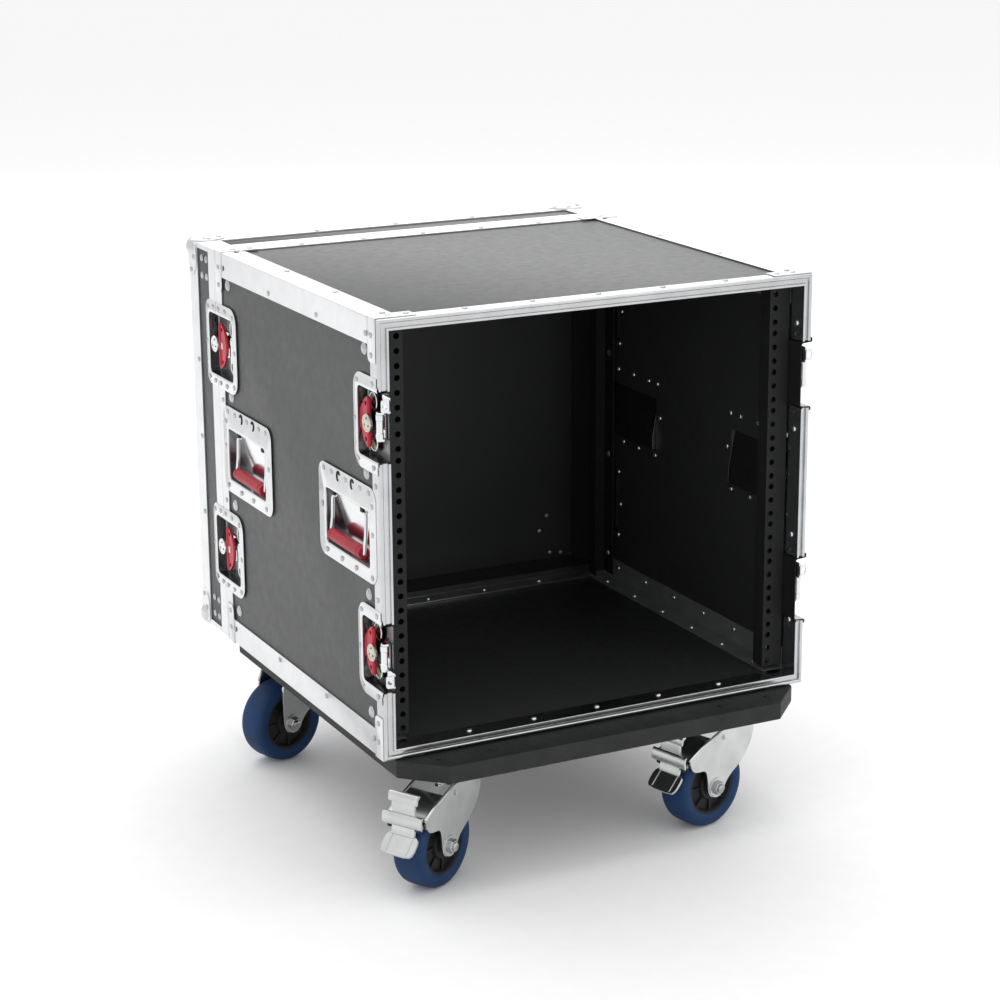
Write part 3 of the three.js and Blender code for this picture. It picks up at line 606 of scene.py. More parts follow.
# The hook: a plate on the pocket's floor, with a roller held between two ears.
HOOK_REACH = {"front": (6, 20), "rear": (-14.5, 46)}
HOOK_HALF, HOOK_LEVELS = 15.3, (9.7, 11.1)
ROLLER_PROFILE = ((4.2, -13), (4.2, -7), (3.7, -6.6), (3.7, 6.6), (4.2, 7), (4.2, 13))
ROLLER_DEPTH = 4.6
EAR_OUTLINE = ((-3.6, 9.9), (-3.6, 1.6), (3.6, 1.6), (3.6, 9.9))
EAR_SPANS = ((-15.5, -13.1), (13.1, 15.5))

# The front hook's tab, above or below the roller: a foot and a face with a hole.
TAB_REACH, TAB_HEIGHTS = (-5, 12), (15, 33)
TAB_FACE, TAB_INSET, TAB_DEPTHS = (-5, -3.5), 2, (0.9, 11.1)
TAB_HOLE_DEPTH, TAB_HOLE_HEIGHT, TAB_HOLE = 5.2, 24, 3.1

# The cam's two lobes, each with a rolled rim.
LOBE_REACH, LOBE_HEIGHT, LOBE_RADII, LOBE_LEVELS = 31, 22, (9, 9.5), (8.4, 9.2)
LOBE_DEPTH, LOBE_WIRE = 8.2, 1.0


def latch_wing(side, sign, end, level):
    site = f"{end}_{side}_{level}"
    root, disc, _ = LATCH_LAYOUT[end]
    wing = Shape(wall(sign, end, LATCH_Z[level]))
    outline = [(root + x, y) for x, y in softened(WING_OUTLINE)]
    holes = [circle(root + x, y, WING_HOLE) for x, y in WING_HOLES]
    wing.plate("xy", outline, holes, *WING_LEVELS)
    wing.wire([(root + x, y, z) for x, y, z in WING_SPINE], SPINE_RADIUS, 14)
    tip = softened(WING_OUTLINE[2:6], 1)[1:-2]
    wing.wire([(root + x, y, TIP_DEPTH) for x, y in tip], TIP_RADIUS)
    wing.lathe(DISC_PROFILE, at=(disc, 0, 0), sides=32, slot=1)
    for x, y in oval(disc, 0, DISC_DOT_RING, DISC_DOT_RING, (90, 210, 330)):
        wing.lathe(DISC_DOT, at=(x, y, 0), sides=10, slot=2)
    wing.block(disc, root + ARM_REACH, -ARM_HALF, ARM_HALF, *ARM_LEVELS, slot=1)
    looks = [RED, HUB if end == "front" else CHROME, BLACK]
    wing.piece(f"butterfly_wing_{site}", f"wing_{site}", looks, "red_paint",
               [f"latch_wing_{site}"], bevel=0.3)


def front_tab(hook, turn):
    low, high = sorted(turn * height for height in TAB_HEIGHTS)
    hook.slab("xy", rounded(*TAB_REACH, low, high, 2), *HOOK_LEVELS)
    face = rounded(*TAB_DEPTHS, low + TAB_INSET, high - TAB_INSET, 2.5)
    hole = circle(TAB_HOLE_DEPTH, turn * TAB_HOLE_HEIGHT, TAB_HOLE)
    hook.plate("zy", face, [hole], *TAB_FACE)


def latch_hook(side, sign, end, level):
    site = f"{end}_{side}_{level}"
    roller = LATCH_LAYOUT[end][2]
    hook = Shape(wall(sign, end, LATCH_Z[level]))
    hook.slab("xy", rounded(*HOOK_REACH[end], -HOOK_HALF, HOOK_HALF, 3), *HOOK_LEVELS)
    hook.lathe(ROLLER_PROFILE, at=(roller, 0, ROLLER_DEPTH), plane="zx", sides=20)
    ear = softened([(roller + x, z) for x, z in EAR_OUTLINE], 1)
    for span in EAR_SPANS:
        hook.slab("xz", ear, *span)
    if end == "front":
        front_tab(hook, -1 if (side, level) == ("left", "lower") else 1)
    for turn in (-1, 1):
        lobe = oval(LOBE_REACH, turn * LOBE_HEIGHT, *LOBE_RADII, range(0, 360, 30))
        hook.slab("xy", lobe, *LOBE_LEVELS, slot=1)
        hook.wire([(x, y, LOBE_DEPTH) for x, y in lobe + lobe[:1]], LOBE_WIRE, 8)
    hook.piece(f"hook_and_roller_{site}", f"hook_{site}", [CHROME, CAM], "chrome",
               [f"latch_hook_{site}"], bevel=0.25)


# -------- handles

# The flange and the pan's mouth, as (x0, x1, y0, y1).
HANDLE_RIM, HANDLE_RADII = (12, 163, -48.5, 57.5), (14, 14, 14, 14)
PAN_RIM, MOUTH_RADII = (27.7, 144, -32, 30), (4, 4, 4, 4)
MOUTH_BACK = ((0, 0.6), (2, 0.6))
HANDLE_Z = middle_height("handle_dish_front_left") - sum(HANDLE_RIM[2:]) / 2 * MM
HANDLE_RIVETS = (tuple((x, 51) for x in (28, 51, 89, 127, 148))
                 + tuple((x, -41) for x in (22, 65, 103, 144)) + ((19.5, 7), (155, 9), (19.5, 38)))

# The pan slopes from a shallow top to a bend and a deep bottom. It is plated, and painted behind; its
# two end walls carry painted shade.
PAN_MOUTH, PAN_SHALLOW, PAN_DEEP, PAN_BEND = 0.4, 6, 14, -16
BEND_RISE = 0.4
PLATED_SKIN, PAINTED_SKIN = 0.5, 1.0

# Black blocks painted as the shade in the slots for the bail's arms, and the clips above the mouth.
ARM_SLOT_SHADES = [(x - 3, x + 3, 23.5, 30, 1.2, 4.6) for x in (53.5, 129.5)]
CLIPS, CLIP_HEIGHT, CLIP_RADII = (71, 108), 50, (-3.5, 5.5)
CLIP_DEPTH, CLIP_WIRE = -1.2, 0.9

# The grip's middle, its ends, and its ribs as (distance from an end, size).
GRIP_DEPTH, GRIP_HEIGHT, GRIP_RADIUS = 1.6, -21, 7.3
GRIP_ENDS = (49, 134)
GRIP_RIBS = ((0, 0.86), (0.8, 0.98), (5.5, 1.0), (6.1, 0.93), (7.7, 0.93), (8.3, 1.0))

# A bail's arm from its pin to the grip, as (inwards from the grip's end, height, depth).
ARM_RADIUS = 2.1
BAIL_ARM = ((5, 23, 4.8), (0.1, 22.5, 4.5), (-1.9, 19, 4.2), (-1.9, -2, 3.4), (-1.9, -17.5, GRIP_DEPTH),
            (-0.9, GRIP_HEIGHT, GRIP_DEPTH), (4, GRIP_HEIGHT, GRIP_DEPTH))


def pan_section(grow):
    """The pan's section as (depth, height), grown outwards from its plated face."""
    low, high = PAN_RIM[2] - grow, PAN_RIM[3] + grow
    return [(PAN_MOUTH, low), (PAN_DEEP + grow, low), (PAN_DEEP + grow, PAN_BEND + BEND_RISE * grow),
            (PAN_SHALLOW + grow, high), (PAN_MOUTH, high)]


def handle_dish(side, sign, end):
    dish = Shape(wall(sign, end, HANDLE_Z))
    front = flange_rings(HANDLE_RIM, HANDLE_RADII, PAN_RIM, MOUTH_RADII)
    dish.loft(front + rings(PAN_RIM, MOUTH_RADII, MOUTH_BACK), ring=True)
    x0, x1 = PAN_RIM[:2]
    face, plated, painted = (pan_section(grow) for grow in (0, PLATED_SKIN, PAINTED_SKIN))
    dish.slab("zy", face[::-1] + plated, x0, x1, slot=PAN_SLOT)
    dish.slab("zy", plated[::-1] + painted, x0, x1, slot=PAINT_SLOT)
    # The pan's two end walls take the painted shade.
    for start, stop in ((x0 - PAINTED_SKIN, x0), (x1, x1 + PAINTED_SKIN)):
        dish.slab("zy", painted, start, stop, slot=POCKET_SHADE_SLOT)
    # Black blocks stand for the painted shade in the arm slots.
    for arm_slot_shade in ARM_SLOT_SHADES:
        dish.block(*arm_slot_shade, slot=PAINT_SLOT)
    for x in CLIPS:
        curl = [(a, b, CLIP_DEPTH) for a, b in oval(x, CLIP_HEIGHT, *CLIP_RADII, range(20, 261, 30))]
        dish.wire(curl, CLIP_WIRE, 8, slot=PAINT_SLOT)
    dish.piece(f"handle_pan_{end}_{side}", "case", DISH_LOOKS + [PAN], "zinc",
               [f"handle_dish_{end}_{side}"], bevel=0.25)


def handle_bail(side, sign, end):
    bail = Shape(wall(sign, end, HANDLE_Z))
    for x, inward in zip(GRIP_ENDS, (1, -1)):
        arm = [(x + inward * reach, height, depth) for reach, height, depth in BAIL_ARM]
        bail.wire(arm, ARM_RADIUS, 14, slot=1)
    section = softened(oval(0, 0, GRIP_RADIUS, GRIP_RADIUS, range(22, 382, 45)), 1)
    start, stop = GRIP_ENDS
    stations = [(start + x, size) for x, size in GRIP_RIBS]
    stations += [(stop - x, size) for x, size in GRIP_RIBS[::-1]]
    bail.loft([[(x, GRIP_HEIGHT + b * size, GRIP_DEPTH + a * size) for a, b in section]
               for x, size in stations])
    bail.piece(f"grip_and_bail_{end}_{side}", f"bail_{end}_{side}", [RED_GRIP, CHROME], "red_grip",
               [f"handle_bail_{end}_{side}"], bevel=0.25)


# -------- rack rails

RACK_UNIT = 44.45
UNITS = 10
HOLES_IN_UNIT = (6.35, 22.225, 38.1)
HOLE_DEPTH, HOLE_RADIUS = 32.45, 3.3
RAIL_FACE = (24.6, 26.6)  # from the seam
RAIL_WALL, RAIL_EDGE, RAIL_SHEET = 13.8, 39.6, 1.8  # depths of the face's two edges
WALL_LEG, WALL_LEG_DEPTH = (26, 48.5), 15.5
OPEN_LEG = (26, 44)


def rail(side, sign, end):
    low = ((TOP - BOTTOM) / MM - UNITS * RACK_UNIT) / 2
    high = low + UNITS * RACK_UNIT
    heights = [low + unit * RACK_UNIT + step for unit in range(UNITS) for step in HOLES_IN_UNIT]
    holes = [circle(HOLE_DEPTH, y, HOLE_RADIUS) for y in heights]
    face = [(RAIL_WALL, low), (RAIL_EDGE, low), (RAIL_EDGE, high), (RAIL_WALL, high)]
    strip = Shape(wall(sign, end, BOTTOM))
    strip.plate("zy", face, holes, *RAIL_FACE)
    strip.block(*WALL_LEG, low, high, WALL_LEG_DEPTH, WALL_LEG_DEPTH + RAIL_SHEET)
    strip.block(*OPEN_LEG, low, high, RAIL_EDGE - RAIL_SHEET, RAIL_EDGE)
    strip.piece(f"rail_strip_{end}_{side}", "case", [RAIL], "rail_steel",
                [f"rack_rail_{end}_{side}"], bevel=0.2)


# -------- lid edges and ball corners

EDGE_SHEET = 1.5
EDGE_BEND = 0.9
LID_ANGLE = 28  # legs of the angle round the lid's back
LID_LEG, LID_LEG_TURN = 29.5, 6  # legs of the lid's short edges, on its flats and its sides
LID_EDGE_START = 22.6
LID_INSET = 21
LID_SHARES = (0.3, 0.5, 0.7)
LID_BOLTS = [(y, z) for y in (40, 55) for z in (17, 38)]
LID_BOLT_DEPTH = 1.7
LID_TAILS = ((26, 16), (42, 18), (58, 50), (47, 70))

# A stamped ball with a wing on each of the three faces that meet at a lid corner.
BALL_RADIUS, BALL_INSET = 14.5, 8.6
BALL_SHEET = 1.2
WING_SHEET = (-1.3, 0.2)
# Each wing's outline and its rivets.
BACK_WING = (softened([(1, 1), (38, 1), (42, 5), (42, 15), (37, 21), (21, 37), (15, 42), (5, 42),
                       (1, 38)], 1), ((35, 10), (24, 24), (10, 35)))
SIDE_WING = (softened([(1, 1), (38, 1), (42, 5), (42, 14), (36, 20), (26, 27), (8, 27), (1, 24)], 1),
             ((35, 10), (19, 18)))


def ball_corner(shape, heads, sign, level, up):
    corner = Matrix.Translation((side_edge(sign), BACK, level))
    place = corner @ Matrix.Diagonal((-sign, -1, -up, 1))
    shell = []
    for polar in range(2, 180, 11):
        across = BALL_RADIUS * sin(radians(polar))
        depth = BALL_INSET - BALL_RADIUS * cos(radians(polar))
        turned = oval(BALL_INSET, BALL_INSET, across, across, range(0, 360, 12))
        loop = [[x, y, depth] for x, y in turned]
        for point in loop:
            # The shell stays in the thickness of the edging where it would enter the lid.
            nearest = min(range(3), key=lambda axis: point[axis])
            point[nearest] = min(point[nearest], BALL_SHEET)
        shell.append(loop)
    # The shells take the darker zinc look as painted shade, outlining the balls against the alloy.
    shape.loft(shell, [1] * len(shell), place=place)
    faces = (("xy", (0, 0, up), SIDE_WING), ("xz", (0, 1, 0), BACK_WING),
             ("zy", (sign, 0, 0), SIDE_WING))
    for plane, normal, (wing, spots) in faces:
        shape.slab(plane, wing, *WING_SHEET, place=place)
        points = [in_plane(plane, a, b, WING_SHEET[0]) for a, b in spots]
        rivets(heads, [place @ (Vector(point) * MM) for point in points], normal)


def lid_edges():
    edging, heads = Shape(), Shape()
    section = [(0, LID_ANGLE), (0, EDGE_BEND), (EDGE_BEND, 0), (LID_ANGLE, 0),
               (LID_ANGLE, EDGE_SHEET), (EDGE_SHEET, EDGE_SHEET), (EDGE_SHEET, LID_ANGLE)]
    frame_run(edging, section, BACK, -1,
              [(-1, "bottom"), (1, "bottom"), (1, "top"), (-1, "top")], ring=True)
    start, stop = SEAM / MM + LID_EDGE_START, BACK / MM - LID_ANGLE
    for _, sign in SIDES:
        for flat, up in FLATS:
            edge, level = side_edge(sign) / MM, flat / MM
            far, near = edge - sign * LID_LEG, edge - sign * EDGE_SHEET
            inner, turned = level - up * EDGE_SHEET, level - up * LID_LEG_TURN
            edging.slab("xz", [(edge, level), (far, level), (far, inner), (near, inner),
                               (near, turned), (edge, turned)], start, stop)
            ball_corner(edging, heads, sign, flat, up)
            bolts = [(side_edge(sign) - sign * LID_BOLT_DEPTH * MM, BACK - y * MM, flat - up * z * MM)
                     for y, z in LID_BOLTS]
            rivets(heads, bolts, (sign, 0, 0), SMALL_BOLT_HEAD)
    edging.piece("lid_angles_and_balls", "lid", [ALUMINIUM, CASTER_ZINC_AND_BALL_SHADE], "aluminium", ["lid_edging"],
                 bevel=0.3)
    lid_rivets(heads)


def lid_rivets(heads):
    inset = LID_INSET * MM
    for share in LID_SHARES:
        height = BOTTOM + (TOP - BOTTOM) * share
        for _, sign in SIDES:
            rivets(heads, [(side_edge(sign), BACK - inset, height)], (sign, 0, 0))
            rivets(heads, [(side_edge(sign) - sign * inset, BACK, height)], (0, 1, 0))
        across = LEFT + (RIGHT - LEFT) * share
        for level, up in FLATS:
            rivets(heads, [(across, BACK - inset, level)], (0, 0, up))
            rivets(heads, [(across, BACK, level - up * inset)], (0, 1, 0))
    for _, sign in SIDES:
        for level in LEVELS:
            place = wall(sign, "rear", LATCH_Z[level])
            rivets(heads, on_wall(place, LID_DISH_RIVETS, FLANGE_TOP), (sign, 0, 0))
        for level, up in FLATS:
            spots = [(side_edge(sign) - sign * x * MM, BACK - INNER_FACE * MM, level - up * z * MM)
                     for x, z in LID_TAILS]
            rivet_tails(heads, spots, (0, -1, 0))
    fasteners(heads, "lid_rivets", "lid")


# -------- casters and their board

JOINTS = {joint["name"]: joint for joint in frame["joints"]}
TRAIL = 39

# A caster is drawn from the middle of its wheel: x along its trail, y along its axle, z up. Its
# tread and its hub are (radius, half width) pairs.
TREAD = [(34.5, 17.2), (36, 18.2), (40, 19.2), (44, 19), (47.2, 17.4), (49.2, 14), (50, 9)]
HUB_SECTION = [(6.2, 17), (15, 17), (16.5, 16), (17.5, 12.5), (29.5, 11.4), (31, 15.2),
               (32, 16.8), (34.4, 17)]
SPOKES, SPOKE = 8, (16, 31, -14.4, 14.4, -1.3, 1.3)

# A fork's cheeks and the rolled edge up the front of each, braked and plain.
CHEEK_BACK = ((15, 12), (14, -3), (9, -11), (-6, -11), (-13, -2), (-20, 8), (-39, 20), (-55, 39),
              (-61, 56), (-59, 68), (-8, 68))
CHEEK = {
    True: [(46, 45), (41, 30), (34, 26), (18, 25), *CHEEK_BACK, (10, 60), (30, 53)],
    False: [(8, 60), (16, 44), *CHEEK_BACK],
}
ROLLED_EDGE = {
    True: ((45, 43.5), (38, 47.6), (28, 53), (10, 59.2), (-6, 66)),
    False: ((14, 46), (8.4, 58), (-6, 66)),
}
CHEEK_IN, CHEEK_OUT = 22, 25
ROLLED_RADIUS, ROLLED_INSET = 2.1, 1.2

# What stands on a cheek, as (radius, height above it).
AXLE_PAD = ((12, -0.5), (12, 1.0))
AXLE_NUT = ((8.2, 0.8), (8.2, 5.0), (7.2, 6.0), (1, 6.0))
AXLE_END = ((5, 5.5), (5, 7.6), (3.8, 8.4), (0.6, 8.4))
DIMPLE, DIMPLE_PLACE = ((3.4, 0), (3.2, 0.7), (2.2, 0.6), (1.4, -0.4)), (-10, 0, 58)
AXLE = ((5.7, -CHEEK_OUT), (5.7, CHEEK_OUT))

# The crown over the wheel, its skirt, and the turned race on top.
CROWN_RADIUS, CROWN_FRONT, CROWN_LEVELS = 22.5, -10, (65.2, 68.2)
SKIRT_RADIUS, SKIRT_LEVELS = 20, (44, 66)
RACE_PROFILE = ((27.5, 66), (29, 67.2), (29, 69.6), (27.2, 71.2), (22, 72.0), (4, 72.0))

# The braked fork's front lip and its brake shoe, as (x, z).
FORK_LIP = [(8, 58), (8, 60.6), (30, 53.6), (43, 46.4), (46.6, 43.6), (45.4, 41.6), (42, 44),
            (29, 51)]
SHOE, SHOE_HALF = softened([(22, 47), (24, 51), (40, 44), (42, 36), (38, 36)], 1), 13

# The pedal's bent sheets as (half width, outline in (x, z)): its neck, rolled toe and cross lip.
PEDAL_SHEETS = (
    (15, [(46.8, 69), (49.6, 69.8), (52.2, 61), (51.4, 46), (52.6, 30), (54.2, 25.4), (51.8, 23.8),
          (49.6, 29), (48.4, 46), (49.2, 60)]),
    (19, softened([(45.6, 69.6), (46.6, 72.4), (49.4, 73), (51.8, 70.6), (53.2, 62), (50.6, 61.6),
                   (49.6, 68)], 1)),
    (26, softened([(50.6, 50), (54.6, 48.8), (55.8, 38), (54, 35), (52.4, 35.4), (53.2, 46)], 1)),
)
PEDAL_EAR, EAR_SPAN = softened([(41, 31.5), (52, 29.5), (53.5, 39.5), (41, 39.5)], 1), (17.3, 20.8)
PIN_PLACE, PEDAL_PIN = (44, 0, 36), ((2.6, -21), (2.6, 21))

# The foot plate and the two ribs on it.
FOOT_PLACE, FOOT_TILT = (59.4, 0, 16.2), 45.8
FOOT_PLATE = softened([(-13, -16), (-8.5, -21.5), (7, -21.5), (12.6, -17.5), (12.6, 17.5),
                       (7, 21.5), (-8.5, 21.5), (-13, 16)], 1)
FOOT_HALF = 1.5
FOOT_RIBS = [(-10, 10, y - 0.9, y + 0.9, 1.2, 2.3) for y in (-13.5, 13.5)]


def caster_place(name):
    """The frame of a caster, in metres."""
    joint = JOINTS[f"wheel_spin_{name}"]
    axle = Vector(joint["axis"])
    trail = Vector((axle.y, -axle.x, 0))
    columns = (trail, axle, Vector((0, 0, 1)), Vector(joint["pos_m"]))
    return Matrix([[column[row] for column in columns] for row in range(3)] + [[0, 0, 0, 1]])


def turned_ring(shape, section, sides, slot):
    """Turns (radius, half width) pairs, mirrored to both sides, about the axle."""
    section = section + [(radius, -across) for radius, across in section[::-1]]
    loops = [[(x, across, z) for x, z in circle(0, 0, radius, sides)] for radius, across in section]
    shape.loft(loops, [slot] * len(loops), ring=True)


def caster_wheel(name):
    wheel = Shape(caster_place(name))
    turned_ring(wheel, TREAD, 64, 0)
    turned_ring(wheel, HUB_SECTION, 48, 1)
    for spoke in range(SPOKES):
        turn = Matrix.Rotation(radians(360 * spoke / SPOKES), 4, "Y")
        wheel.block(*SPOKE, slot=1, place=wheel.place @ turn)
    wheel.piece(f"wheel_tyre_and_hub_{name}", f"wheel_{name}", [TYRE, BLACK], "blue_tyre",
                [f"caster_wheel_{name}"], bevel=0)


def fork_cheek(fork, side, braked):
    """One cheek with its rolled edge, the axle's nut and end, and a dimple."""

    def outwards(profile):
        return [(radius, side * (CHEEK_OUT + height)) for radius, height in profile]

    fork.slab("xz", softened(CHEEK[braked]), *sorted((side * CHEEK_IN, side * CHEEK_OUT)))
    fork.lathe(outwards(AXLE_PAD), plane="xz", sides=20)
    fork.lathe(outwards(AXLE_NUT), plane="xz", sides=6, slot=1)
    fork.lathe(outwards(AXLE_END), plane="xz", sides=16, slot=1)
    fork.lathe(outwards(DIMPLE), at=DIMPLE_PLACE, plane="xz", sides=16)
    rolled = [(x, side * (CHEEK_OUT - ROLLED_INSET), z) for x, z in ROLLED_EDGE[braked]]
    fork.wire(rolled, ROLLED_RADIUS, 10)


def caster_fork(name, braked):
    fork = Shape(caster_place(name))
    for side in (-1, 1):
        fork_cheek(fork, side, braked)
    fork.lathe(AXLE, plane="xz", sides=16, slot=1)
    crown = [*arc(-TRAIL, 0, CROWN_RADIUS, 90, 270, 10), (CROWN_FRONT, -CROWN_RADIUS),
             (CROWN_FRONT, CROWN_RADIUS)]
    fork.slab("xy", crown, *CROWN_LEVELS)
    skirt = (arc(-TRAIL, 0, CROWN_RADIUS, 96, 264, 10)
             + arc(-TRAIL, 0, SKIRT_RADIUS, 264, 96, 10))
    fork.slab("xy", skirt, *SKIRT_LEVELS)
    fork.lathe(RACE_PROFILE, at=(-TRAIL, 0, 0), sides=36)
    if braked:
        fork.slab("xz", FORK_LIP, -CHEEK_OUT, CHEEK_OUT)
        fork.slab("xz", SHOE, -SHOE_HALF, SHOE_HALF, slot=2)
    fork.piece(f"fork_pressing_{name}", f"fork_{name}", [CASTER_ZINC_AND_BALL_SHADE, RIVET, BLACK], "zinc",
               [f"caster_fork_{name}"], bevel=0.5)


def brake_pedal(side):
    name = f"front_{side}"
    pedal = Shape(caster_place(name))
    for half, outline in PEDAL_SHEETS:
        pedal.slab("xz", outline, -half, half)
    foot = (pedal.place @ Matrix.Translation(Vector(FOOT_PLACE) * MM)
            @ Matrix.Rotation(radians(FOOT_TILT), 4, "Y"))
    pedal.slab("xy", FOOT_PLATE, -FOOT_HALF, FOOT_HALF, place=foot)
    for rib in FOOT_RIBS:
        pedal.block(*rib, place=foot)
    for turn in (-1, 1):
        low, high = sorted(turn * across for across in EAR_SPAN)
        pedal.slab("xz", PEDAL_EAR, low, high, slot=2)
    pedal.lathe(PEDAL_PIN, at=PIN_PLACE, plane="xz", sides=14, slot=1)
    pedal.piece(f"pedal_pressing_{side}", f"pedal_{name}", [CASTER_ZINC_AND_BALL_SHADE, RIVET, BLACK], "zinc",
                [f"caster_pedal_{name}"], bevel=0.5)


BOARD_CHAMFER, BOARD_THICKNESS = 43, 20.4
PLATE_OUTLINE, PLATE_SHEET = rounded(-42, 42, -52, 52, 6), 3.0
PLATE_BOLTS = [(x, y) for x in (-31, 31) for y in (-41, 41)]
# Profiles as (radius, height from the board's underside, or from its top for the bolt heads).
PLATE_RACE = ((27, -9), (29.5, -7.6), (29.5, -5.2), (26, -PLATE_SHEET))
PLATE_NUT = ((6.4, -2.8), (6.4, -6.6), (5.6, -7.4), (1, -7.4))
PLATE_BOLT = ((5.2, -0.6), (5.2, 0.3), (4.2, 1.1), (1, 1.3))


def caster_board():
    low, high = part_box("caster_board")
    top = high.z / MM
    under = top - BOARD_THICKNESS
    board = Shape()
    chamfered = rounded(low.x / MM, high.x / MM, low.y / MM, high.y / MM, BOARD_CHAMFER, steps=1)
    board.slab("xy", chamfered, under, top)
    board.piece("painted_board", "case", [BLACK_BOARD], "black_board", ["caster_board"], bevel=1.6)
    mounting = Shape()
    for end in ENDS:
        for side, _ in SIDES:
            x, y = Vector(JOINTS[f"swivel_{end}_{side}"]["pos_m"]).xy / MM
            spot = Matrix.Translation(Vector((x, y, under)) * MM)
            mounting.slab("xy", PLATE_OUTLINE, -PLATE_SHEET, 0, place=spot)
            mounting.lathe(PLATE_RACE, sides=36, place=spot)
            for bolt_x, bolt_y in PLATE_BOLTS:
                mounting.lathe(PLATE_NUT, at=(x + bolt_x, y + bolt_y, under), sides=6, slot=1)
                mounting.lathe(PLATE_BOLT, at=(x + bolt_x, y + bolt_y, top), sides=16, slot=2)
    mounting.piece("top_plates_and_bolts", "case", [CASTER_ZINC_AND_BALL_SHADE, RIVET, BLACK], "zinc", bevel=0.4)


# -------- fasteners and inner angles

# Rail bolts, by reach from their seam and height above the bottom.
BOLT_REACH = {"front": 37, "rear": 37.5}
BOLT_HEIGHTS = (44, 177, 310, 444)
BOLT_INSIDE = 17.2  # depth of the rail leg that they come out of

# Rivets on the edge angles, behind the front seam, and on their braces, as (reach from a seam,
# distance from the edge).
EDGE_INSET, EDGE_REACH = 23, (160, 297)
BRACE_RIVETS, BRACE_SHEET = ((14, 39), (14, 18), (27, 18)), 1.2

# Rivets through the end frames' upright and level runs.
UPRIGHT_REACH, UPRIGHT_RIVETS, UPRIGHT_TAILS = 12, (178, 302), (76, 178, 302, 424)
LEVEL_REACH, LEVEL_SHARES = 13, (0.2, 0.35, 0.5, 0.65, 0.8)


def dish_rivets(heads, sign, end, height, spots):
    """A dish's rivets, with their tails inside the panel."""
    place = wall(sign, end, height)
    rivets(heads, on_wall(place, spots, FLANGE_TOP), (sign, 0, 0))
    rivet_tails(heads, on_wall(place, spots, INNER_FACE), (-sign, 0, 0))


def edge_rivets(heads, sign, level, up):
    """Rivets on both faces of a long edge."""
    edge, inset = side_edge(sign), EDGE_INSET * MM
    along = [FRONT + y * MM for y in EDGE_REACH]
    rivets(heads, [(edge, y, level - up * inset) for y in along], (sign, 0, 0))
    rivets(heads, [(edge - sign * inset, y, level) for y in along], (0, 0, up))
    raised = BRACE_SHEET * MM
    for seam, direction in SEAMS.values():
        brace = [(seam + direction * reach * MM, away * MM) for reach, away in BRACE_RIVETS]
        rivets(heads, [(edge + sign * raised, y, level - up * away) for y, away in brace],
               (sign, 0, 0))
        rivets(heads, [(edge - sign * away, y, level + up * raised) for y, away in brace],
               (0, 0, up))


def wall_fasteners(heads, sign, end):
    """All that goes through one end of a side wall."""
    edge = side_edge(sign)
    seam, direction = SEAMS[end]
    bolts = [(seam + direction * BOLT_REACH[end] * MM, BOTTOM + z * MM)
             for z in BOLT_HEIGHTS]
    outside, inside = edge - sign * LAMINATE_DEPTH * MM, edge - sign * BOLT_INSIDE * MM
    rivets(heads, [(outside, y, z) for y, z in bolts], (sign, 0, 0), BOLT_HEAD, 20)
    rivets(heads, [(inside, y, z) for y, z in bolts], (-sign, 0, 0), SMALL_BOLT_HEAD, 6, INSIDE_SLOT)
    dish_rivets(heads, sign, end, HANDLE_Z, HANDLE_RIVETS)
    for level in LEVELS:
        dish_rivets(heads, sign, end, LATCH_Z[level], DISH_RIVETS[end])
    upright = seam + direction * UPRIGHT_REACH * MM
    rivets(heads, [(edge, upright, BOTTOM + z * MM) for z in UPRIGHT_RIVETS], (sign, 0, 0))
    rivet_tails(heads, [(edge - sign * FRAME_INSIDE * MM, upright, BOTTOM + z * MM)
                        for z in UPRIGHT_TAILS], (-sign, 0, 0))


def body_fasteners():
    heads = Shape()
    for _, sign in SIDES:
        for end in ENDS:
            wall_fasteners(heads, sign, end)
        for level, up in FLATS:
            edge_rivets(heads, sign, level, up)
    for seam, direction in SEAMS.values():
        y = seam + direction * LEVEL_REACH * MM
        for share in LEVEL_SHARES:
            across = LEFT + (RIGHT - LEFT) * share
            rivets(heads, [(across, y, TOP)], (0, 0, 1))
            for level, up in FLATS:
                rivet_tails(heads, [(across, y, level - up * FRAME_INSIDE * MM)], (0, 0, -up))
    fasteners(heads, "case_rivets_and_bolts", "case")


ANGLE_LEG, ANGLE_SHEET, ANGLE_MARGIN = 26, 1.2, 26
ANGLE_RIVETS, ANGLE_INSET = (60, 130, 200, 270, 340, 410), 17


def inner_angles():
    """Dark angle strips in the four long inner corners, riveted to the panels."""
    start, stop = FRONT / MM + ANGLE_MARGIN, SEAM / MM - ANGLE_MARGIN
    for side, sign in SIDES:
        edge = side_edge(sign) / MM - sign * INNER_FACE
        for name, flat, up in (("bottom", BOTTOM, 1), ("top", TOP, -1)):
            level = flat / MM + up * INNER_FACE
            leg_x, leg_z = edge - sign * ANGLE_LEG, level + up * ANGLE_LEG
            face_x, face_z = edge - sign * ANGLE_SHEET, level + up * ANGLE_SHEET
            strip = Shape()
            strip.slab("xz", [(edge, level), (leg_x, level), (leg_x, face_z), (face_x, face_z),
                              (face_x, leg_z), (edge, leg_z)], start, stop)
            strip.piece(f"inner_angle_{name}_{side}", "case", [INNER_ANGLE], "rail_steel", bevel=0.2)
            heads = Shape()
            rivet_x, rivet_z = edge - sign * ANGLE_INSET, level + up * ANGLE_INSET
            for y in ANGLE_RIVETS:
                rivet_tails(heads, [(rivet_x * MM, FRONT + y * MM, face_z * MM)], (0, 0, up))
                rivet_tails(heads, [(face_x * MM, FRONT + y * MM, rivet_z * MM)], (-sign, 0, 0))
            fasteners(heads, f"inner_angle_rivets_{name}_{side}", "case")


# -------- the object

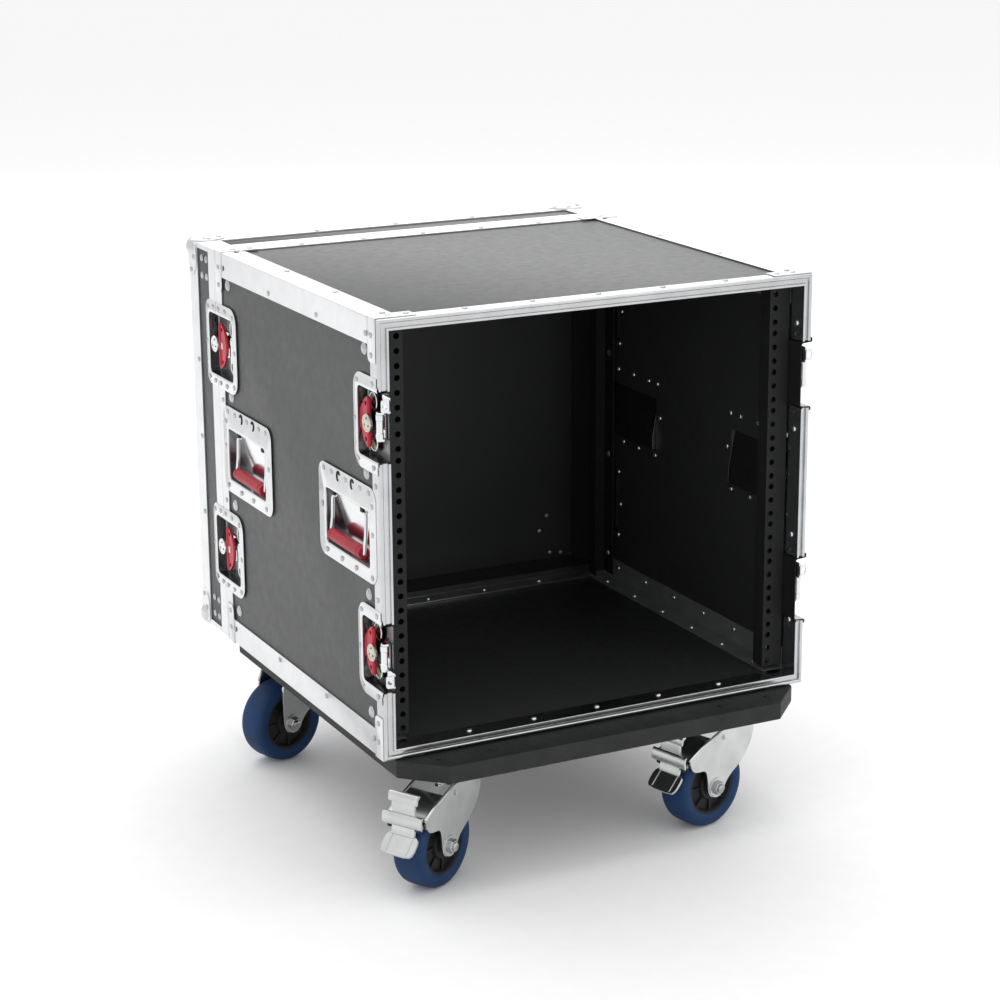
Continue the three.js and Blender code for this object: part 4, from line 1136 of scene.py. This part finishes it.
KEPT_PANELS = ("panel_top", "panel_bottom", "panel_left", "panel_right", "lid_shell")
KEPT_ANGLES = [f"edge_angle_{level}_{side}" for level in ("top", "bottom") for side, _ in SIDES]
KEPT_WELD = 0.01


def finish_node(node, look, bevel):
    """A CAD node that keeps its shape gets a better surface and softer edges."""
    kept = frame["nodes"][node]
    kept.data.materials.clear()
    kept.data.materials.append(look)
    weld = kept.modifiers.new("weld", "WELD")
    weld.merge_threshold = KEPT_WELD * MM
    soften(kept, bevel)


for node in KEPT_PANELS:
    finish_node(node, LAMINATE, 0.3)
for node in KEPT_ANGLES:
    finish_node(node, ALUMINIUM, 0.5)

front_frame()
front_dishes()
rear_and_lid_frames()
lid_edges()
caster_board()
body_fasteners()
inner_angles()
for side, sign in SIDES:
    for end in ENDS:
        handle_dish(side, sign, end)
        handle_bail(side, sign, end)
        rail(side, sign, end)
        caster_wheel(f"{end}_{side}")
        caster_fork(f"{end}_{side}", end == "front")
        for level in LEVELS:
            latch_wing(side, sign, end, level)
            latch_hook(side, sign, end, level)
    brake_pedal(side)

# -------- floor, light and camera

FLOOR_SIZE = 60
WHITE = (1, 1, 1, 1)

floor_mesh = bmesh.new()
bmesh.ops.create_grid(floor_mesh, x_segments=4, y_segments=4, size=FLOOR_SIZE / 2)
floor_data = bpy.data.meshes.new("floor")
floor_mesh.to_mesh(floor_data)
floor_mesh.free()
floor_data.materials.append(material("floor", (0.93, 0.93, 0.93), 0.01, 0.8))
floor = linked("floor", floor_data)

world = bpy.data.worlds.new("studio")
world.use_nodes = True
world.node_tree.nodes["Background"].inputs["Color"].default_value = WHITE
world.node_tree.nodes["Background"].inputs["Strength"].default_value = 1.0
bpy.context.scene.world = world
bpy.context.scene.view_settings.view_transform = "Standard"


def softbox(name, place, aim, size, power):
    """A large area light at place, aimed at a point."""
    data = bpy.data.lights.new(name, "AREA")
    data.shape = "RECTANGLE"
    data.size, data.size_y = size
    data.energy = power
    lamp = linked(name, data)
    lamp.location = place
    lamp.rotation_euler = (Vector(aim) - Vector(place)).to_track_quat("-Z", "Y").to_euler()


MIDDLE = (Vector(CAD_BOX[0]) + Vector(CAD_BOX[1])) / 2
softbox("overhead", (0, 1.2, 3.4), MIDDLE, (4.5, 4.5), 60)
softbox("back", (1.9, 3.9, 2.1), MIDDLE, (3.6, 2.0), 22)
softbox("front", (1.6, -3.8, 1.6), MIDDLE, (2.0, 1.8), 8)

CAMERA_PLACE = (-1.2756, -2.5358, 1.1469)
AZIMUTH, ELEVATION, ROLL = (radians(a) for a in (26.85, 15.76, -0.37))
CAMERA_LENS, CAMERA_SENSOR = 89.94, 36

camera_data = bpy.data.cameras.new("camera")
camera_data.sensor_width = CAMERA_SENSOR
camera_data.lens = CAMERA_LENS
camera = linked("camera", camera_data)
ahead = Vector((sin(AZIMUTH) * cos(ELEVATION), cos(AZIMUTH) * cos(ELEVATION), -sin(ELEVATION)))
roll = Matrix.Rotation(ROLL, 3, -ahead)
camera.matrix_world = (Matrix.Translation(CAMERA_PLACE)
                       @ (roll @ ahead.to_track_quat("-Z", "Y").to_matrix()).to_4x4())
bpy.context.scene.camera = camera
